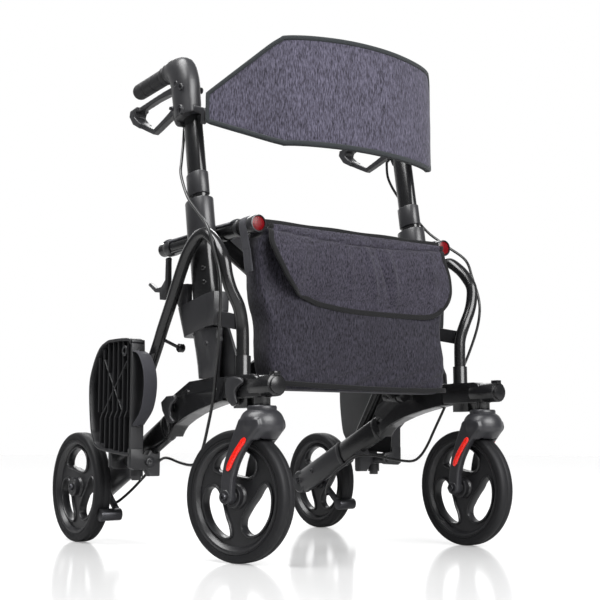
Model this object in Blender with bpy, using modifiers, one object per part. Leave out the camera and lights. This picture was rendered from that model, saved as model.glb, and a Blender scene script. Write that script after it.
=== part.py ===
"""Folding rollator that is also a transport chair, as separate pieces in metres.

+Z is up and -Y is the way the user walks, so the casters and the bag are at -Y.
Shapes are drawn for the left side (+X) and mirrored for the right (-X).
Distances along Y in the dimensions below are from the rear axle, + to the rear.
"""

import math

import bmesh
import bpy
from mathutils import Matrix, Vector

# Fits
GAP = 0.0003            # between faces that touch on the real object
RUN = 0.0010            # running clearance of what turns
SLIP = 0.0006           # sliding clearance of the handle posts

# Wheels
WHEEL_RADIUS = 0.100
TYRE_WIDTH = 0.030
TYRE_DEPTH = 0.016      # rubber between the rim and the tread
RIM_LIP = 0.0045        # height of the rim's edge ring
WEB_THICKNESS = 0.009
LIP_THICKNESS = 0.016   # raised lips round the openings of the web
LIP_WIDTH = 0.0038
HUB_RADIUS = 0.017
HUB_WIDTH = 0.036
AXLE_RADIUS = 0.004
AXLE_HEAD = 0.0065
WHEEL_STEPS = 24
OPENING_POINTS = 10
SPOKES = 3

# Layout
AXLE_Y = 0.24505        # rear axle, from the middle of the footprint
FRAME_X = 0.2325        # plane of the side beam, leg and caster stem
STEM_Y = -0.5347
TRAIL = 0.045
CASTER_TURN = {"right": math.radians(15.7), "left": math.radians(1.6)}

# Side frame
BEAM_WIDTH = 0.024
LEG_HEIGHT = 0.045
LEG_WIDTH = 0.024
LEG_SLOPE = -0.44
LEG_Z = 0.096           # height of the leg's middle line over the rear axle
SLEEVE_WALL = 0.002
BRAKE_ROOM = 0.0135     # between the sleeve and the rear hub, for the brake arm
REAR_TRACK = FRAME_X + LEG_WIDTH / 2 + SLEEVE_WALL + BRAKE_ROOM + HUB_WIDTH / 2
LOOP_X = FRAME_X + 0.0295   # the loop low on the leg
ARCH_X = LOOP_X + 0.0045    # and where it passes the post
LOOP_RADIUS = 0.010
POST_X = FRAME_X + 0.0035
POST_LEAN = 0.155       # rearward run for each metre of rise
POST_Y = -0.346
POST_Z = 0.610
OUTER_POST = (0.0560, 0.0360)
INNER_POST = (0.0420, 0.0260)
HANDLE_X = POST_X + 0.0090
HANDLE_TRAVEL = 0.100
HANDLE_HELD = 0.042      # length of the inner post left in the outer one at full height
GRIP_RADIUS = 0.0148

# Seat, brace and bag
RAIL_X = FRAME_X - 0.0310
RAIL_Z = 0.528
RAIL_RADIUS = 0.0125
PIVOT_X = FRAME_X - 0.0325
PIVOT_Z = 0.265
FOOT_RADIUS = 0.0125    # knuckle at the foot of a brace
KNUCKLE = 0.0220        # its length
PIVOT_PIN = 0.0050
BRACE_Y = (-0.378, -0.340)
BRACE_WIDTH = 0.026
BRACE_THICKNESS = 0.016

# Footrests
PLATE_PIVOT_X = FRAME_X + 0.0325
PLATE_PIVOT_Y = -0.195
PLATE_PIVOT_Z = 0.148
PLATE_THICKNESS = 0.025
PLATE_OUTER_X = PLATE_PIVOT_X + 0.0350

SIDES = {"right": -1.0, "left": 1.0}

for old in list(bpy.data.objects):
    bpy.data.objects.remove(old, do_unlink=True)

PARTS = bpy.data.collections.new("walker")
HELPERS = bpy.data.collections.new("cutters")
for collection in (PARTS, HELPERS):
    bpy.context.scene.collection.children.link(collection)


def P(x, y, z):
    """A point whose y is given from the rear axle."""
    return Vector((x, AXLE_Y + y, z))


def material(name, colour, roughness, metallic=0.0):
    mat = bpy.data.materials.new(name)
    mat.use_nodes = True
    shader = mat.node_tree.nodes["Principled BSDF"]
    shader.inputs["Base Color"].default_value = (*colour, 1.0)
    shader.inputs["Roughness"].default_value = roughness
    shader.inputs["Metallic"].default_value = metallic
    return mat


def helper(name, data):
    """An object that shapes another one and isn't itself a part."""
    obj = bpy.data.objects.new(name, data)
    HELPERS.objects.link(obj)
    obj.hide_render = True
    obj.display_type = "WIRE"
    return obj


def baked(obj, matrix=None):
    """A mesh helper with the evaluated shape of obj, its seams welded, in place of obj."""
    bpy.context.view_layer.update()
    graph = bpy.context.evaluated_depsgraph_get()
    mesh = bpy.data.meshes.new_from_object(obj.evaluated_get(graph))
    mesh.transform((matrix or Matrix()) @ obj.matrix_world)
    bm = bmesh.new()
    bm.from_mesh(mesh)
    bmesh.ops.remove_doubles(bm, verts=bm.verts, dist=0.000002)
    bmesh.ops.recalc_face_normals(bm, faces=bm.faces)
    bm.to_mesh(mesh)
    bm.free()
    name = obj.name
    bpy.data.objects.remove(obj, do_unlink=True)
    return helper(name, mesh)


def rounded(obj, width, segments=1, angle=35):
    bevel = obj.modifiers.new("edges", "BEVEL")
    bevel.width = width
    bevel.segments = segments
    bevel.limit_method = "ANGLE"
    bevel.angle_limit = math.radians(angle)
    return obj


def block(centre, size, turn=None, round_by=0.0, segments=1):
    """A box, with its size already in the mesh so that a bevel keeps its width."""
    bm = bmesh.new()
    bmesh.ops.create_cube(bm, size=1.0)
    bmesh.ops.scale(bm, vec=size, verts=bm.verts)
    mesh = bpy.data.meshes.new("block")
    bm.to_mesh(mesh)
    bm.free()
    mesh.transform(Matrix.Translation(centre) @ (turn.to_4x4() if turn else Matrix()))
    obj = helper("block", mesh)
    return rounded(obj, round_by, segments) if round_by else obj


def along(direction):
    """The rotation that takes +Z to the given direction."""
    return Vector((0, 0, 1)).rotation_difference(Vector(direction).normalized()).to_matrix()


def rod(start, end, radius, sides=12, end_radius=None, round_by=0.0):
    """A cylinder or cone between two points."""
    start, end = Vector(start), Vector(end)
    bm = bmesh.new()
    bmesh.ops.create_cone(
        bm, cap_ends=True, segments=sides, radius1=radius,
        radius2=radius if end_radius is None else end_radius, depth=(end - start).length)
    mesh = bpy.data.meshes.new("rod")
    bm.to_mesh(mesh)
    bm.free()
    mesh.transform(Matrix.Translation((start + end) / 2) @ along(end - start).to_4x4())
    obj = helper("rod", mesh)
    return rounded(obj, round_by) if round_by else obj


def turned(profile, origin=(0, 0, 0), axis=(0, 0, 1), steps=24, closed=False):
    """A profile of (radius, height) from top to bottom, turned about an axis."""
    mesh = bpy.data.meshes.new("turned")
    count = len(profile)
    edges = [(i, i + 1) for i in range(count - 1)] + ([(count - 1, 0)] if closed else [])
    mesh.from_pydata([(r, 0, h) for r, h in profile], edges, [])
    obj = bpy.data.objects.new("turned", mesh)
    HELPERS.objects.link(obj)
    screw = obj.modifiers.new("turn", "SCREW")
    screw.steps = screw.render_steps = steps
    screw.use_merge_vertices = True
    screw.merge_threshold = 0.000002
    return baked(obj, Matrix.Translation(origin) @ along(axis).to_4x4())


def smooth(points, steps, closed=False):
    """Catmull-Rom points through the given ones, for a curve without corners."""
    points = [Vector(p) for p in points]
    count = len(points)
    found = []
    for i in range(count if closed else count - 1):
        if closed:
            a, b, c, d = (points[(i + k - 1) % count] for k in range(4))
        else:
            b, c = points[i], points[i + 1]
            a = points[i - 1] if i else b + (b - c)
            d = points[i + 2] if i + 2 < count else c + (c - b)
        for k in range(steps):
            t = k / steps
            found.append(0.5 * ((2 * b) + (c - a) * t + (2 * a - 5 * b + 4 * c - d) * t * t
                                + (3 * b - a - 3 * c + d) * t ** 3))
    return found if closed else found + [points[-1]]


def tube(points, radius, closed=False, resolution=4):
    """A round tube along points, closed at its ends unless it runs into itself."""
    curve = bpy.data.curves.new("tube", "CURVE")
    curve.dimensions = "3D"
    curve.bevel_depth = radius
    curve.bevel_resolution = resolution
    curve.use_fill_caps = not closed
    spline = curve.splines.new("POLY")
    spline.points.add(len(points) - 1)
    for point, place in zip(spline.points, points):
        point.co = (*place, 1.0)
    spline.use_cyclic_u = closed
    obj = bpy.data.objects.new("tube", curve)
    HELPERS.objects.link(obj)
    return baked(obj)


PLANES = {
    "x": Matrix(((0, 0, 1, 0), (1, 0, 0, 0), (0, 1, 0, 0), (0, 0, 0, 1))),
    "y": Matrix(((1, 0, 0, 0), (0, 0, -1, 0), (0, 1, 0, 0), (0, 0, 0, 1))),
    "z": Matrix(),
}


def plate(outlines, low, high, plane="x", matrix=None, round_by=0.0, segments=1):
    """A flat outline, holes included, extruded from low to high along the plane's normal.

    Outlines are (y, z) for plane x, (x, z) for plane y and (x, y) for plane z.
    """
    curve = bpy.data.curves.new("plate", "CURVE")
    curve.dimensions = "2D"
    curve.fill_mode = "BOTH"
    curve.extrude = (high - low) / 2
    for outline in outlines:
        spline = curve.splines.new("POLY")
        spline.points.add(len(outline) - 1)
        for point, place in zip(spline.points, outline):
            point.co = (place[0], place[1], 0.0, 1.0)
        spline.use_cyclic_u = True
    obj = bpy.data.objects.new("plate", curve)
    HELPERS.objects.link(obj)
    middle = (high + low) / 2 * (-1 if plane == "y" else 1)
    obj.location = (0, 0, middle)
    obj = baked(obj, (matrix or Matrix()) @ PLANES[plane])
    return rounded(obj, round_by, segments) if round_by else obj


def loft(rings, closed=False):
    """Skin through rings of equal count, for sections that change along the piece."""
    bm = bmesh.new()
    rows = [[bm.verts.new(p) for p in ring] for ring in rings]
    pairs = list(zip(rows, rows[1:])) + ([(rows[-1], rows[0])] if closed else [])
    for a, b in pairs:
        for i in range(len(a)):
            j = (i + 1) % len(a)
            bm.faces.new((a[i], a[j], b[j], b[i]))
    if not closed:
        bm.faces.new(rows[0][::-1])
        bm.faces.new(rows[-1])
    bmesh.ops.recalc_face_normals(bm, faces=bm.faces)
    mesh = bpy.data.meshes.new("loft")
    bm.to_mesh(mesh)
    bm.free()
    return helper("loft", mesh)


def oval(centre, u, v, a, b, count=20, power=2.0):
    """A ring of points; a power over 2 squares the oval up."""
    centre, u, v = Vector(centre), Vector(u).normalized(), Vector(v).normalized()
    found = []
    for i in range(count):
        angle = 2 * math.pi * i / count
        c, s = math.cos(angle), math.sin(angle)
        x = math.copysign(abs(c) ** (2 / power), c)
        y = math.copysign(abs(s) ** (2 / power), s)
        found.append(centre + u * (a * x) + v * (b * y))
    return found


def arc(centre, radius, start, end, count):
    """Points of a circle in a plane, angles in degrees."""
    found = []
    for i in range(count + 1):
        angle = math.radians(start + (end - start) * i / count)
        found.append((centre[0] + radius * math.cos(angle), centre[1] + radius * math.sin(angle)))
    return found


def join(*shapes):
    return [("UNION", shape) for shape in shapes]


def cut(*shapes):
    return [("DIFFERENCE", shape) for shape in shapes]


def piece(name, base, mat, steps=(), side=1.0, pivot=None, matrix=None, smooth_by=40):
    """Makes base the part called name, with shapes joined to it or cut from it in order.

    side -1 mirrors everything to the right of the middle plane, matrix then turns it,
    and pivot, in place, becomes the object's origin.
    """
    origin = Vector(pivot) if pivot is not None else Vector((0, 0, 0))
    mirror = Matrix.Diagonal((side, 1.0, 1.0, 1.0))
    move = Matrix.Translation(-origin) @ (matrix or Matrix()) @ mirror
    for shape in [base] + [tool for _, tool in steps]:
        shape.data.transform(move)
        if side < 0:
            shape.data.flip_normals()
    base.name = base.data.name = name
    HELPERS.objects.unlink(base)
    PARTS.objects.link(base)
    base.hide_render = False
    base.display_type = "TEXTURED"
    base.data.materials.clear()
    base.data.materials.append(mat)
    for i, (operation, tool) in enumerate(steps):
        tool.name = f"{name}_{operation.lower()}_{i}"
        tool.parent = base
        boolean = base.modifiers.new(tool.name, "BOOLEAN")
        boolean.operation = operation
        boolean.solver = "EXACT"
        boolean.object = tool
    flat = base.modifiers.new("flat_faces", "DECIMATE")
    flat.decimate_type = "DISSOLVE"
    flat.angle_limit = math.radians(0.5)
    base.location = origin
    base.data.shade_smooth()
    base.data.set_sharp_from_angle(angle=math.radians(smooth_by))
    return base


def resample(points, count):
    """Evenly spaced points along a closed outline."""
    points = [Vector(p) for p in points]
    lengths = [(points[(i + 1) % len(points)] - p).length for i, p in enumerate(points)]
    step = sum(lengths) / count
    found, i, passed = [], 0, 0.0
    for k in range(count):
        while passed + lengths[i] < k * step:
            passed += lengths[i]
            i += 1
        share = (k * step - passed) / lengths[i]
        found.append(points[i].lerp(points[(i + 1) % len(points)], share))
    return found


def grown(points, distance):
    """A closed outline moved outward (or inward where negative) by distance."""
    points = [Vector(p[:2]) for p in points]
    area = sum(a.x * b.y - b.x * a.y for a, b in zip(points, points[1:] + points[:1]))
    sign = 1 if area > 0 else -1
    found = []
    for i, p in enumerate(points):
        before, after = (p - points[i - 1]).normalized(), (points[(i + 1) % len(points)] - p).normalized()
        normal = Vector((before.y + after.y, -before.x - after.x)).normalized()
        lean = max(0.5, normal.dot(Vector((after.y, -after.x))))
        found.append(p + normal * (sign * distance / lean))
    return found


def thinned(points, degrees):
    """An open line without the points at which it hardly bends."""
    found = [points[0]]
    for i in range(1, len(points) - 1):
        if (points[i] - found[-1]).angle(points[i + 1] - points[i]) > math.radians(degrees):
            found.append(points[i])
    return found + [points[-1]]


def circle(centre, radius, count):
    return arc(centre, radius, 0, 360 * (count - 1) / count, count - 1)


def oval_bar(start, end, across, width, height, power=2.4, count=16):
    """A straight bar of oval section; width is measured along across."""
    start, end = Vector(start), Vector(end)
    w = (end - start).normalized()
    u = Vector(across).normalized()
    v = w.cross(u)
    frame = Matrix((u, v, w)).transposed().to_4x4()
    frame.translation = start
    outline = [(p.x, p.y) for p in oval((0, 0, 0), (1, 0, 0), (0, 1, 0),
                                         width / 2, height / 2, count, power)]
    return plate([outline], 0.0, (end - start).length, "z", frame)


# Materials
GLOSS = material("gloss_black_tube", (0.012, 0.012, 0.013), 0.22, 0.3)
SATIN = material("satin_dark_grey", (0.060, 0.060, 0.064), 0.42, 0.1)
PLASTIC = material("moulded_plastic", (0.045, 0.045, 0.050), 0.55)
RUBBER = material("grey_rubber", (0.040, 0.040, 0.042), 0.70)
STEEL = material("black_steel", (0.030, 0.030, 0.032), 0.35, 0.8)
RED = material("red_reflector", (0.650, 0.010, 0.012), 0.25)
FABRIC = material("purple_grey_fabric", (0.050, 0.046, 0.062), 0.95)
WEBBING = material("dark_webbing", (0.030, 0.030, 0.034), 0.90)

# Wheels
RIM_RADIUS = WHEEL_RADIUS - TYRE_DEPTH
RIM_HALF = TYRE_WIDTH / 2 - 0.0025
HUB_HALF = HUB_WIDTH / 2
# One comma-shaped opening between two spokes: share of the wheel radius, degrees.
OPENING = ((0.50, -10), (0.63, 0), (0.69, 18), (0.70, 42), (0.68, 66), (0.62, 82),
           (0.49, 78), (0.385, 62), (0.31, 38), (0.315, 12), (0.38, -6))


def opening(turn, count):
    points = []
    for share, degrees in OPENING:
        angle = math.radians(degrees + turn)
        points.append((-share * WHEEL_RADIUS * math.cos(angle),
                       share * WHEEL_RADIUS * math.sin(angle), 0))
    return resample(smooth(points, 4, closed=True), count)


def rim(name, side, matrix, pivot):
    turns = [360 / SPOKES * i - 65 for i in range(SPOKES)]
    ring = turned(
        [(RIM_RADIUS, RIM_HALF), (RIM_RADIUS, -RIM_HALF), (RIM_RADIUS - RIM_LIP, -RIM_HALF),
         (RIM_RADIUS - 0.0090, 0.001 - WEB_THICKNESS / 2),
         (RIM_RADIUS - 0.0090, WEB_THICKNESS / 2 - 0.001), (RIM_RADIUS - RIM_LIP, RIM_HALF)],
        axis=(1, 0, 0), steps=WHEEL_STEPS, closed=True)
    web = plate([circle((0, 0), RIM_RADIUS - 0.006, WHEEL_STEPS)]
                + [[p[:2] for p in grown(opening(t, OPENING_POINTS), 0.002)] for t in turns],
                -WEB_THICKNESS / 2, WEB_THICKNESS / 2)
    lips = [plate([grown(opening(t, OPENING_POINTS), LIP_WIDTH),
                   [p[:2] for p in opening(t, OPENING_POINTS)]],
                  -LIP_THICKNESS / 2, LIP_THICKNESS / 2) for t in turns]
    hub = rod((-HUB_HALF, 0, 0), (HUB_HALF, 0, 0), HUB_RADIUS, 16)
    bore = rod((-0.05, 0, 0), (0.05, 0, 0), AXLE_RADIUS + GAP, 8)
    return piece(name, ring, SATIN, join(web, *lips, hub) + cut(bore), side, pivot, matrix)


def tyre(name, side, matrix, pivot):
    half, inner = TYRE_WIDTH / 2, RIM_RADIUS + GAP
    shape = turned(
        [(inner, half - 0.0025), (inner, 0.0025 - half), (inner + 0.0080, -half),
         (WHEEL_RADIUS, 0.0060 - half), (WHEEL_RADIUS, half - 0.0060), (inner + 0.0080, half)],
        axis=(1, 0, 0), steps=WHEEL_STEPS, closed=True)
    return piece(name, shape, RUBBER, (), side, pivot, matrix)


# Caster fork: x outboard, y to the rear and z up from its axle
FORK_INNER = 0.0200
FORK_OUTER = 0.0335
BOSS_PROUD = 0.0010
DISC_RADIUS = 0.0225
FORK_TOP = 0.128
DISC_TOP = 0.1355
STEM_RADIUS = 0.0060
STEM_TOP = 0.168


def fork(name, side, matrix, pivot):
    leg = (arc((0, 0), 0.0118, 190, 350, 5)
           + [(0.0090, 0.0245), (0.0030, 0.0510), (-0.0085, 0.0800), (-0.0260, 0.1160),
              (-0.0640, 0.1160), (-0.0660, 0.1030), (-0.0555, 0.0915), (-0.0375, 0.0715),
              (-0.0225, 0.0480), (-0.0137, 0.0245)])
    stem = (0, -TRAIL, 0)
    levels = ((FORK_TOP, DISC_RADIUS + 0.0005, 0.0230), (0.1250, 0.0285, 0.0280),
              (0.1185, FORK_OUTER - 0.0005, 0.0320), (0.1080, FORK_OUTER + 0.0015, 0.0340),
              (0.0950, FORK_OUTER - 0.0002, 0.0310), (0.0840, FORK_OUTER - 0.0010, 0.0220))
    crown = loft([oval((0, -TRAIL + max(0.0, 0.1 - z) * 0.35, z), (1, 0, 0), (0, 1, 0), a, b, 14)
                  for z, a, b in levels])
    arms = [plate([leg], FORK_INNER, FORK_OUTER, round_by=0.0028),
            plate([leg], -FORK_OUTER, -FORK_INNER, round_by=0.0028)]
    face = HUB_HALF + RUN / 2
    bosses = [rod((s * face, 0, 0), (s * (FORK_OUTER + BOSS_PROUD), 0, 0), 0.0105, 10) for s in (-1, 1)]
    disc = rod((0, -TRAIL, FORK_TOP - 0.001), (0, -TRAIL, DISC_TOP), DISC_RADIUS, 16)
    pin = rod((0, -TRAIL, DISC_TOP - 0.001), (0, -TRAIL, STEM_TOP), STEM_RADIUS, 8)
    slot = rod((0.0002 - FORK_INNER, 0, 0), (FORK_INNER - 0.0002, 0, 0), WHEEL_RADIUS + 0.004, 36)
    bore = rod((-0.05, 0, 0), (0.05, 0, 0), AXLE_RADIUS + GAP, 8)
    steps = cut(slot) + join(*arms, *bosses, disc, pin) + cut(bore)
    return piece(name, crown, SATIN, steps, side, pivot, matrix)


def axle(name, low, high, side, matrix, pivot):
    """A bolt from low to high, with a domed head outboard and a nut inboard."""
    shaft = rod((low - 0.001, 0, 0), (high + 0.001, 0, 0), AXLE_RADIUS, 8)
    head = rod((high, 0, 0), (high + 0.0045, 0, 0), AXLE_HEAD, 10, 0.0052)
    nut = rod((low - 0.0045, 0, 0), (low, 0, 0), AXLE_HEAD, 6)
    socket = rod((high + 0.0020, 0, 0), (high + 0.01, 0, 0), 0.0026, 6)
    return piece(name, shaft, STEEL, join(head, nut) + cut(socket), side, pivot, matrix)


def strip(outline, width):
    """A closed outline of a band of this width whose middle follows the given (u, v) points."""
    points = [Vector(p[:2]) for p in outline]
    left, right = [], []
    for i, p in enumerate(points):
        d = (points[min(i + 1, len(points) - 1)] - points[max(i - 1, 0)]).normalized()
        n = Vector((-d.y, d.x)) * width / 2
        left.append(p + n)
        right.append(p - n)
    return left + right[::-1]


# Casters and rear wheels
AXLE = Vector((0, AXLE_Y, WHEEL_RADIUS))
for label, side in SIDES.items():
    swivel = P(side * FRAME_X, STEM_Y, WHEEL_RADIUS)
    turn = Matrix.Rotation(CASTER_TURN[label], 4, "Z")
    at = Matrix.Translation(swivel) @ turn @ Matrix.Translation((0, TRAIL, 0))
    hub = at.translation
    fork(f"caster_fork_{label}", side, at, swivel)
    rim(f"front_rim_{label}", side, at, hub)
    tyre(f"front_tyre_{label}", side, at, hub)
    reach = FORK_OUTER + BOSS_PROUD + GAP
    axle(f"front_axle_{label}", -reach, reach, side, at, hub)
    trim = strip(smooth([(-0.0400, 0.0850, 0), (-0.0290, 0.0730, 0), (-0.0160, 0.0560, 0),
                         (-0.0065, 0.0400, 0)], 3), 0.0085)
    piece(f"fork_reflector_{label}", plate([trim], FORK_OUTER + GAP, FORK_OUTER + 0.0022), RED, (),
          side, swivel, at)
    at = Matrix.Translation((side * REAR_TRACK, *AXLE[1:]))
    hub = at.translation
    rim(f"rear_rim_{label}", side, at, hub)
    tyre(f"rear_tyre_{label}", side, at, hub)
    axle(f"rear_axle_{label}", FRAME_X - BEAM_WIDTH / 2 - SLEEVE_WALL - GAP - REAR_TRACK,
         HUB_HALF + GAP, side, at, hub)

# Side frame: front block with the caster bearing
BLOCK_HALF = 0.0130
BLOCK = [(-0.4461, 0.2475), (-0.4461, 0.2838), (-0.5250, 0.2838), (-0.5390, 0.2800),
         (-0.5450, 0.2700), (-0.5450, 0.2475)]
CLAMP_Z = 0.3140        # top of the slotted clamp round the loop's front foot
LOOP_Y = -0.4810
LOOP_FOOT = 0.2900
BARREL_RADIUS = 0.0170
BARREL_Z = 0.2650
NECK_RADIUS = 0.0130
NECK_Z = WHEEL_RADIUS + DISC_TOP + RUN


def front_block(label, side):
    body = plate([BLOCK], FRAME_X - BLOCK_HALF, FRAME_X + BLOCK_HALF, round_by=0.0020)
    barrel = rod((FRAME_X, -0.5180, BARREL_Z), (FRAME_X, -0.5740, BARREL_Z), BARREL_RADIUS, 16)
    cap = rod((FRAME_X, -0.5735, BARREL_Z), (FRAME_X, -0.5780, BARREL_Z), 0.0130, 14)
    tab = block((FRAME_X, -0.5690, BARREL_Z + 0.0175), (0.010, 0.014, 0.006))
    neck = rod((FRAME_X, STEM_Y, NECK_Z), (FRAME_X, STEM_Y, 0.2560), NECK_RADIUS, 14)
    clamp = rod((FRAME_X, LOOP_Y, 0.2800), (FRAME_X, LOOP_Y, CLAMP_Z), LOOP_RADIUS + 0.0027, 14)
    box = block((FRAME_X, -0.4900, 0.2410), (0.0200, 0.0380, 0.0160))
    bolt = rod((FRAME_X + 0.0120, -0.5220, 0.2650), (FRAME_X + 0.0160, -0.5220, 0.2650), 0.0050, 10)
    socket = rod((FRAME_X, LOOP_Y, LOOP_FOOT - GAP), (FRAME_X, LOOP_Y, 0.4), LOOP_RADIUS + 2 * GAP, 14)
    seat = rod((FRAME_X, STEM_Y, 0.2), (FRAME_X, STEM_Y, WHEEL_RADIUS + STEM_TOP + GAP),
               STEM_RADIUS + 2 * GAP, 8)
    slit = block((FRAME_X, LOOP_Y + 0.012, CLAMP_Z - 0.010), (0.0022, 0.016, 0.024))
    parts = [body, barrel, cap, tab, neck, clamp, box, bolt, socket, seat, slit]
    for shape in parts:
        shape.data.transform(Matrix.Translation((0, AXLE_Y, 0)))
    return piece(f"front_block_{label}", body, GLOSS,
                 join(barrel, cap, tab, neck, clamp, box, bolt) + cut(socket, seat, slit), side)


# Side frame: beam, leg and the two crescent clips at the ends of the beam
BEAM = [(-0.2711, 0.1900), (-0.2515, 0.2350), (-0.2600, 0.2500), (-0.2873, 0.2619),
        (-0.3349, 0.2806), (-0.3700, 0.2822), (-0.4458, 0.2829), (-0.4458, 0.2458),
        (-0.3961, 0.2381), (-0.3443, 0.2271), (-0.2918, 0.2090)]
REAR_CLIP = [(-0.2570, 0.2490), (-0.2750, 0.2585), (-0.3030, 0.2590), (-0.3070, 0.2515),
             (-0.2925, 0.2440), (-0.2868, 0.2340), (-0.2905, 0.2240), (-0.3020, 0.2150),
             (-0.2890, 0.2125), (-0.2750, 0.2200), (-0.2630, 0.2330)]
FRONT_CLIP = [(-0.4590, 0.2700), (-0.4640, 0.2800), (-0.4860, 0.2815), (-0.5060, 0.2780),
              (-0.5080, 0.2700), (-0.4930, 0.2640), (-0.4865, 0.2565), (-0.4880, 0.2490),
              (-0.4930, 0.2400), (-0.4800, 0.2350), (-0.4690, 0.2420), (-0.4600, 0.2560)]
CLIP_THICKNESS = 0.0070
FLANGE_PROUD = 0.0025


def leg_z(y):
    return LEG_Z + LEG_SLOPE * y


def leg_point(y, x=FRAME_X):
    return P(x, y, leg_z(y))


def shifted(outline):
    return [(y + AXLE_Y, z) for y, z in outline]


def side_beam(label, side):
    half = BEAM_WIDTH / 2
    body = plate([shifted(BEAM)], FRAME_X - half, FRAME_X + half, round_by=0.0015)
    edge = [(y, z + 0.0018) for y, z in (BEAM[0], BEAM[10], BEAM[9], BEAM[8], BEAM[7])]
    edge = [(p.y, p.z) for p in smooth([(0, y + AXLE_Y, z) for y, z in edge], 2)]
    flange = plate([strip(edge, 0.0040)], FRAME_X - half - FLANGE_PROUD, FRAME_X + half + FLANGE_PROUD)
    bolts = [rod(P(FRAME_X + half - 0.001, y, z), P(FRAME_X + half + 0.0030, y, z), 0.0048, 8, 0.0040)
             for y, z in ((-0.3340, 0.2640), (-0.4190, 0.2640))]
    slot = plate([shifted([(-0.2780, 0.2230), (-0.2690, 0.2270), (-0.2560, 0.2200), (-0.2560, 0.2140),
                           (-0.2680, 0.2140)])], FRAME_X - 0.05, FRAME_X - half + 0.003)
    knuckle = BRACE_Y[0] if side < 0 else BRACE_Y[1]
    lugs = []
    for sign in (-1, 1):
        near, far = knuckle + sign * (KNUCKLE / 2 + RUN / 2), knuckle + sign * (KNUCKLE / 2 + 0.0140)
        lugs.append(rod(P(PIVOT_X, near, PIVOT_Z), P(PIVOT_X, far, PIVOT_Z), FOOT_RADIUS - 0.0015, 14))
        lugs.append(block(P((PIVOT_X + FRAME_X) / 2, (near + far) / 2, PIVOT_Z),
                          (FRAME_X - PIVOT_X, abs(far - near), 0.0150)))
    pin = rod(P(PIVOT_X, knuckle - KNUCKLE, PIVOT_Z), P(PIVOT_X, knuckle + KNUCKLE, PIVOT_Z), PIVOT_PIN, 10)
    return piece(f"side_beam_{label}", body, GLOSS, join(flange, *bolts, *lugs, pin) + cut(slot), side)


def beam_clip(name, outline, low, side, spacer=None):
    """A crescent cover; a spacer behind it holds it clear of the beam's flange."""
    body = plate([shifted(outline)], low, low + CLIP_THICKNESS, round_by=0.0020)
    steps = ()
    if spacer:
        steps = join(rod(P(FRAME_X + BEAM_WIDTH / 2 + GAP, *spacer), P(low + 0.0030, *spacer), 0.0080, 12))
    return piece(name, body, PLASTIC, steps, side)


LEG_TOP_Y = -0.26155
SLEEVE_TOP_Y = -0.1400
SLEEVE_END_Y = 0.0100
STAY_Y = -0.1180        # where the loop's rear foot is bolted to the leg
SOCKET_LOW = 0.1225
SOCKET_HIGH = 0.1360
STUB_RADIUS = 0.0085


def rear_leg(label, side):
    across = (1, 0, 0)
    bar = oval_bar(leg_point(LEG_TOP_Y), leg_point(SLEEVE_TOP_Y + 0.02), across, LEG_WIDTH, LEG_HEIGHT)
    sleeve = oval_bar(leg_point(SLEEVE_TOP_Y), leg_point(-0.004), across,
                      LEG_WIDTH + 2 * SLEEVE_WALL, LEG_HEIGHT + 2 * SLEEVE_WALL)
    half = LEG_WIDTH / 2 + SLEEVE_WALL
    end = rod(P(FRAME_X - half + 0.0015, 0, 0.0975), P(FRAME_X + half - 0.0015, 0, 0.0975),
              LEG_HEIGHT / 2 + 0.0010, 16, round_by=0.0030)
    boss = rod(P(FRAME_X, 0, WHEEL_RADIUS), P(REAR_TRACK - HUB_HALF - RUN, 0, WHEEL_RADIUS), 0.0120, 12)
    bore = rod(P(0.2, 0, WHEEL_RADIUS), P(0.3, 0, WHEEL_RADIUS), AXLE_RADIUS + GAP, 8)
    rib = block(P(PLATE_PIVOT_X - 0.0265, PLATE_PIVOT_Y, (SOCKET_LOW + 0.1700) / 2),
                (0.0290, 0.0180, 0.1700 - SOCKET_LOW))
    ring = rod(P(PLATE_PIVOT_X, PLATE_PIVOT_Y, SOCKET_LOW), P(PLATE_PIVOT_X, PLATE_PIVOT_Y, SOCKET_HIGH),
               STUB_RADIUS + 0.0040, 14)
    eye = rod(P(PLATE_PIVOT_X, PLATE_PIVOT_Y, 0.1), P(PLATE_PIVOT_X, PLATE_PIVOT_Y, 0.1375),
              STUB_RADIUS + SLIP, 14)
    screw = rod(P(FRAME_X + half - 0.003, -0.0490, 0.1200), P(FRAME_X + half + 0.002, -0.0490, 0.1200),
                0.0045, 10, 0.0038)
    return piece(f"rear_leg_{label}", bar, GLOSS,
                 join(sleeve, end, boss, rib, ring, screw) + cut(bore, eye), side)


for label, side in SIDES.items():
    front_block(label, side)
    side_beam(label, side)
    rear_leg(label, side)
    beam_clip(f"rear_clip_{label}", REAR_CLIP, FRAME_X + BEAM_WIDTH / 2 + FLANGE_PROUD + 0.0004, side,
              (-0.2770, 0.2400))
    beam_clip(f"front_clip_{label}", FRONT_CLIP, FRAME_X + BLOCK_HALF + GAP, side)

# Side frame: arched loop of tube from the front block over the post down to the leg
LOOP = [(FRAME_X, LOOP_Y, LOOP_FOOT), (FRAME_X, LOOP_Y, 0.3400), (0.2345, -0.4815, 0.3650),
        (0.2427, -0.4848, 0.3906), (0.2560, -0.4840, 0.4150), (0.2635, -0.4830, 0.4375),
        (ARCH_X, -0.4800, 0.4614), (ARCH_X, -0.4640, 0.4840), (ARCH_X, -0.4450, 0.5010),
        (ARCH_X, -0.4220, 0.5136), (ARCH_X, -0.3966, 0.5099), (ARCH_X, -0.3712, 0.4929),
        (ARCH_X, -0.3510, 0.4690), (0.2650, -0.3110, 0.4128), (0.2635, -0.2800, 0.3720),
        (LOOP_X, -0.2550, 0.3370), (LOOP_X, -0.2000, 0.2589), (LOOP_X, STAY_Y, 0.1440)]
KNOB = (-0.2970, 0.3390)


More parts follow.
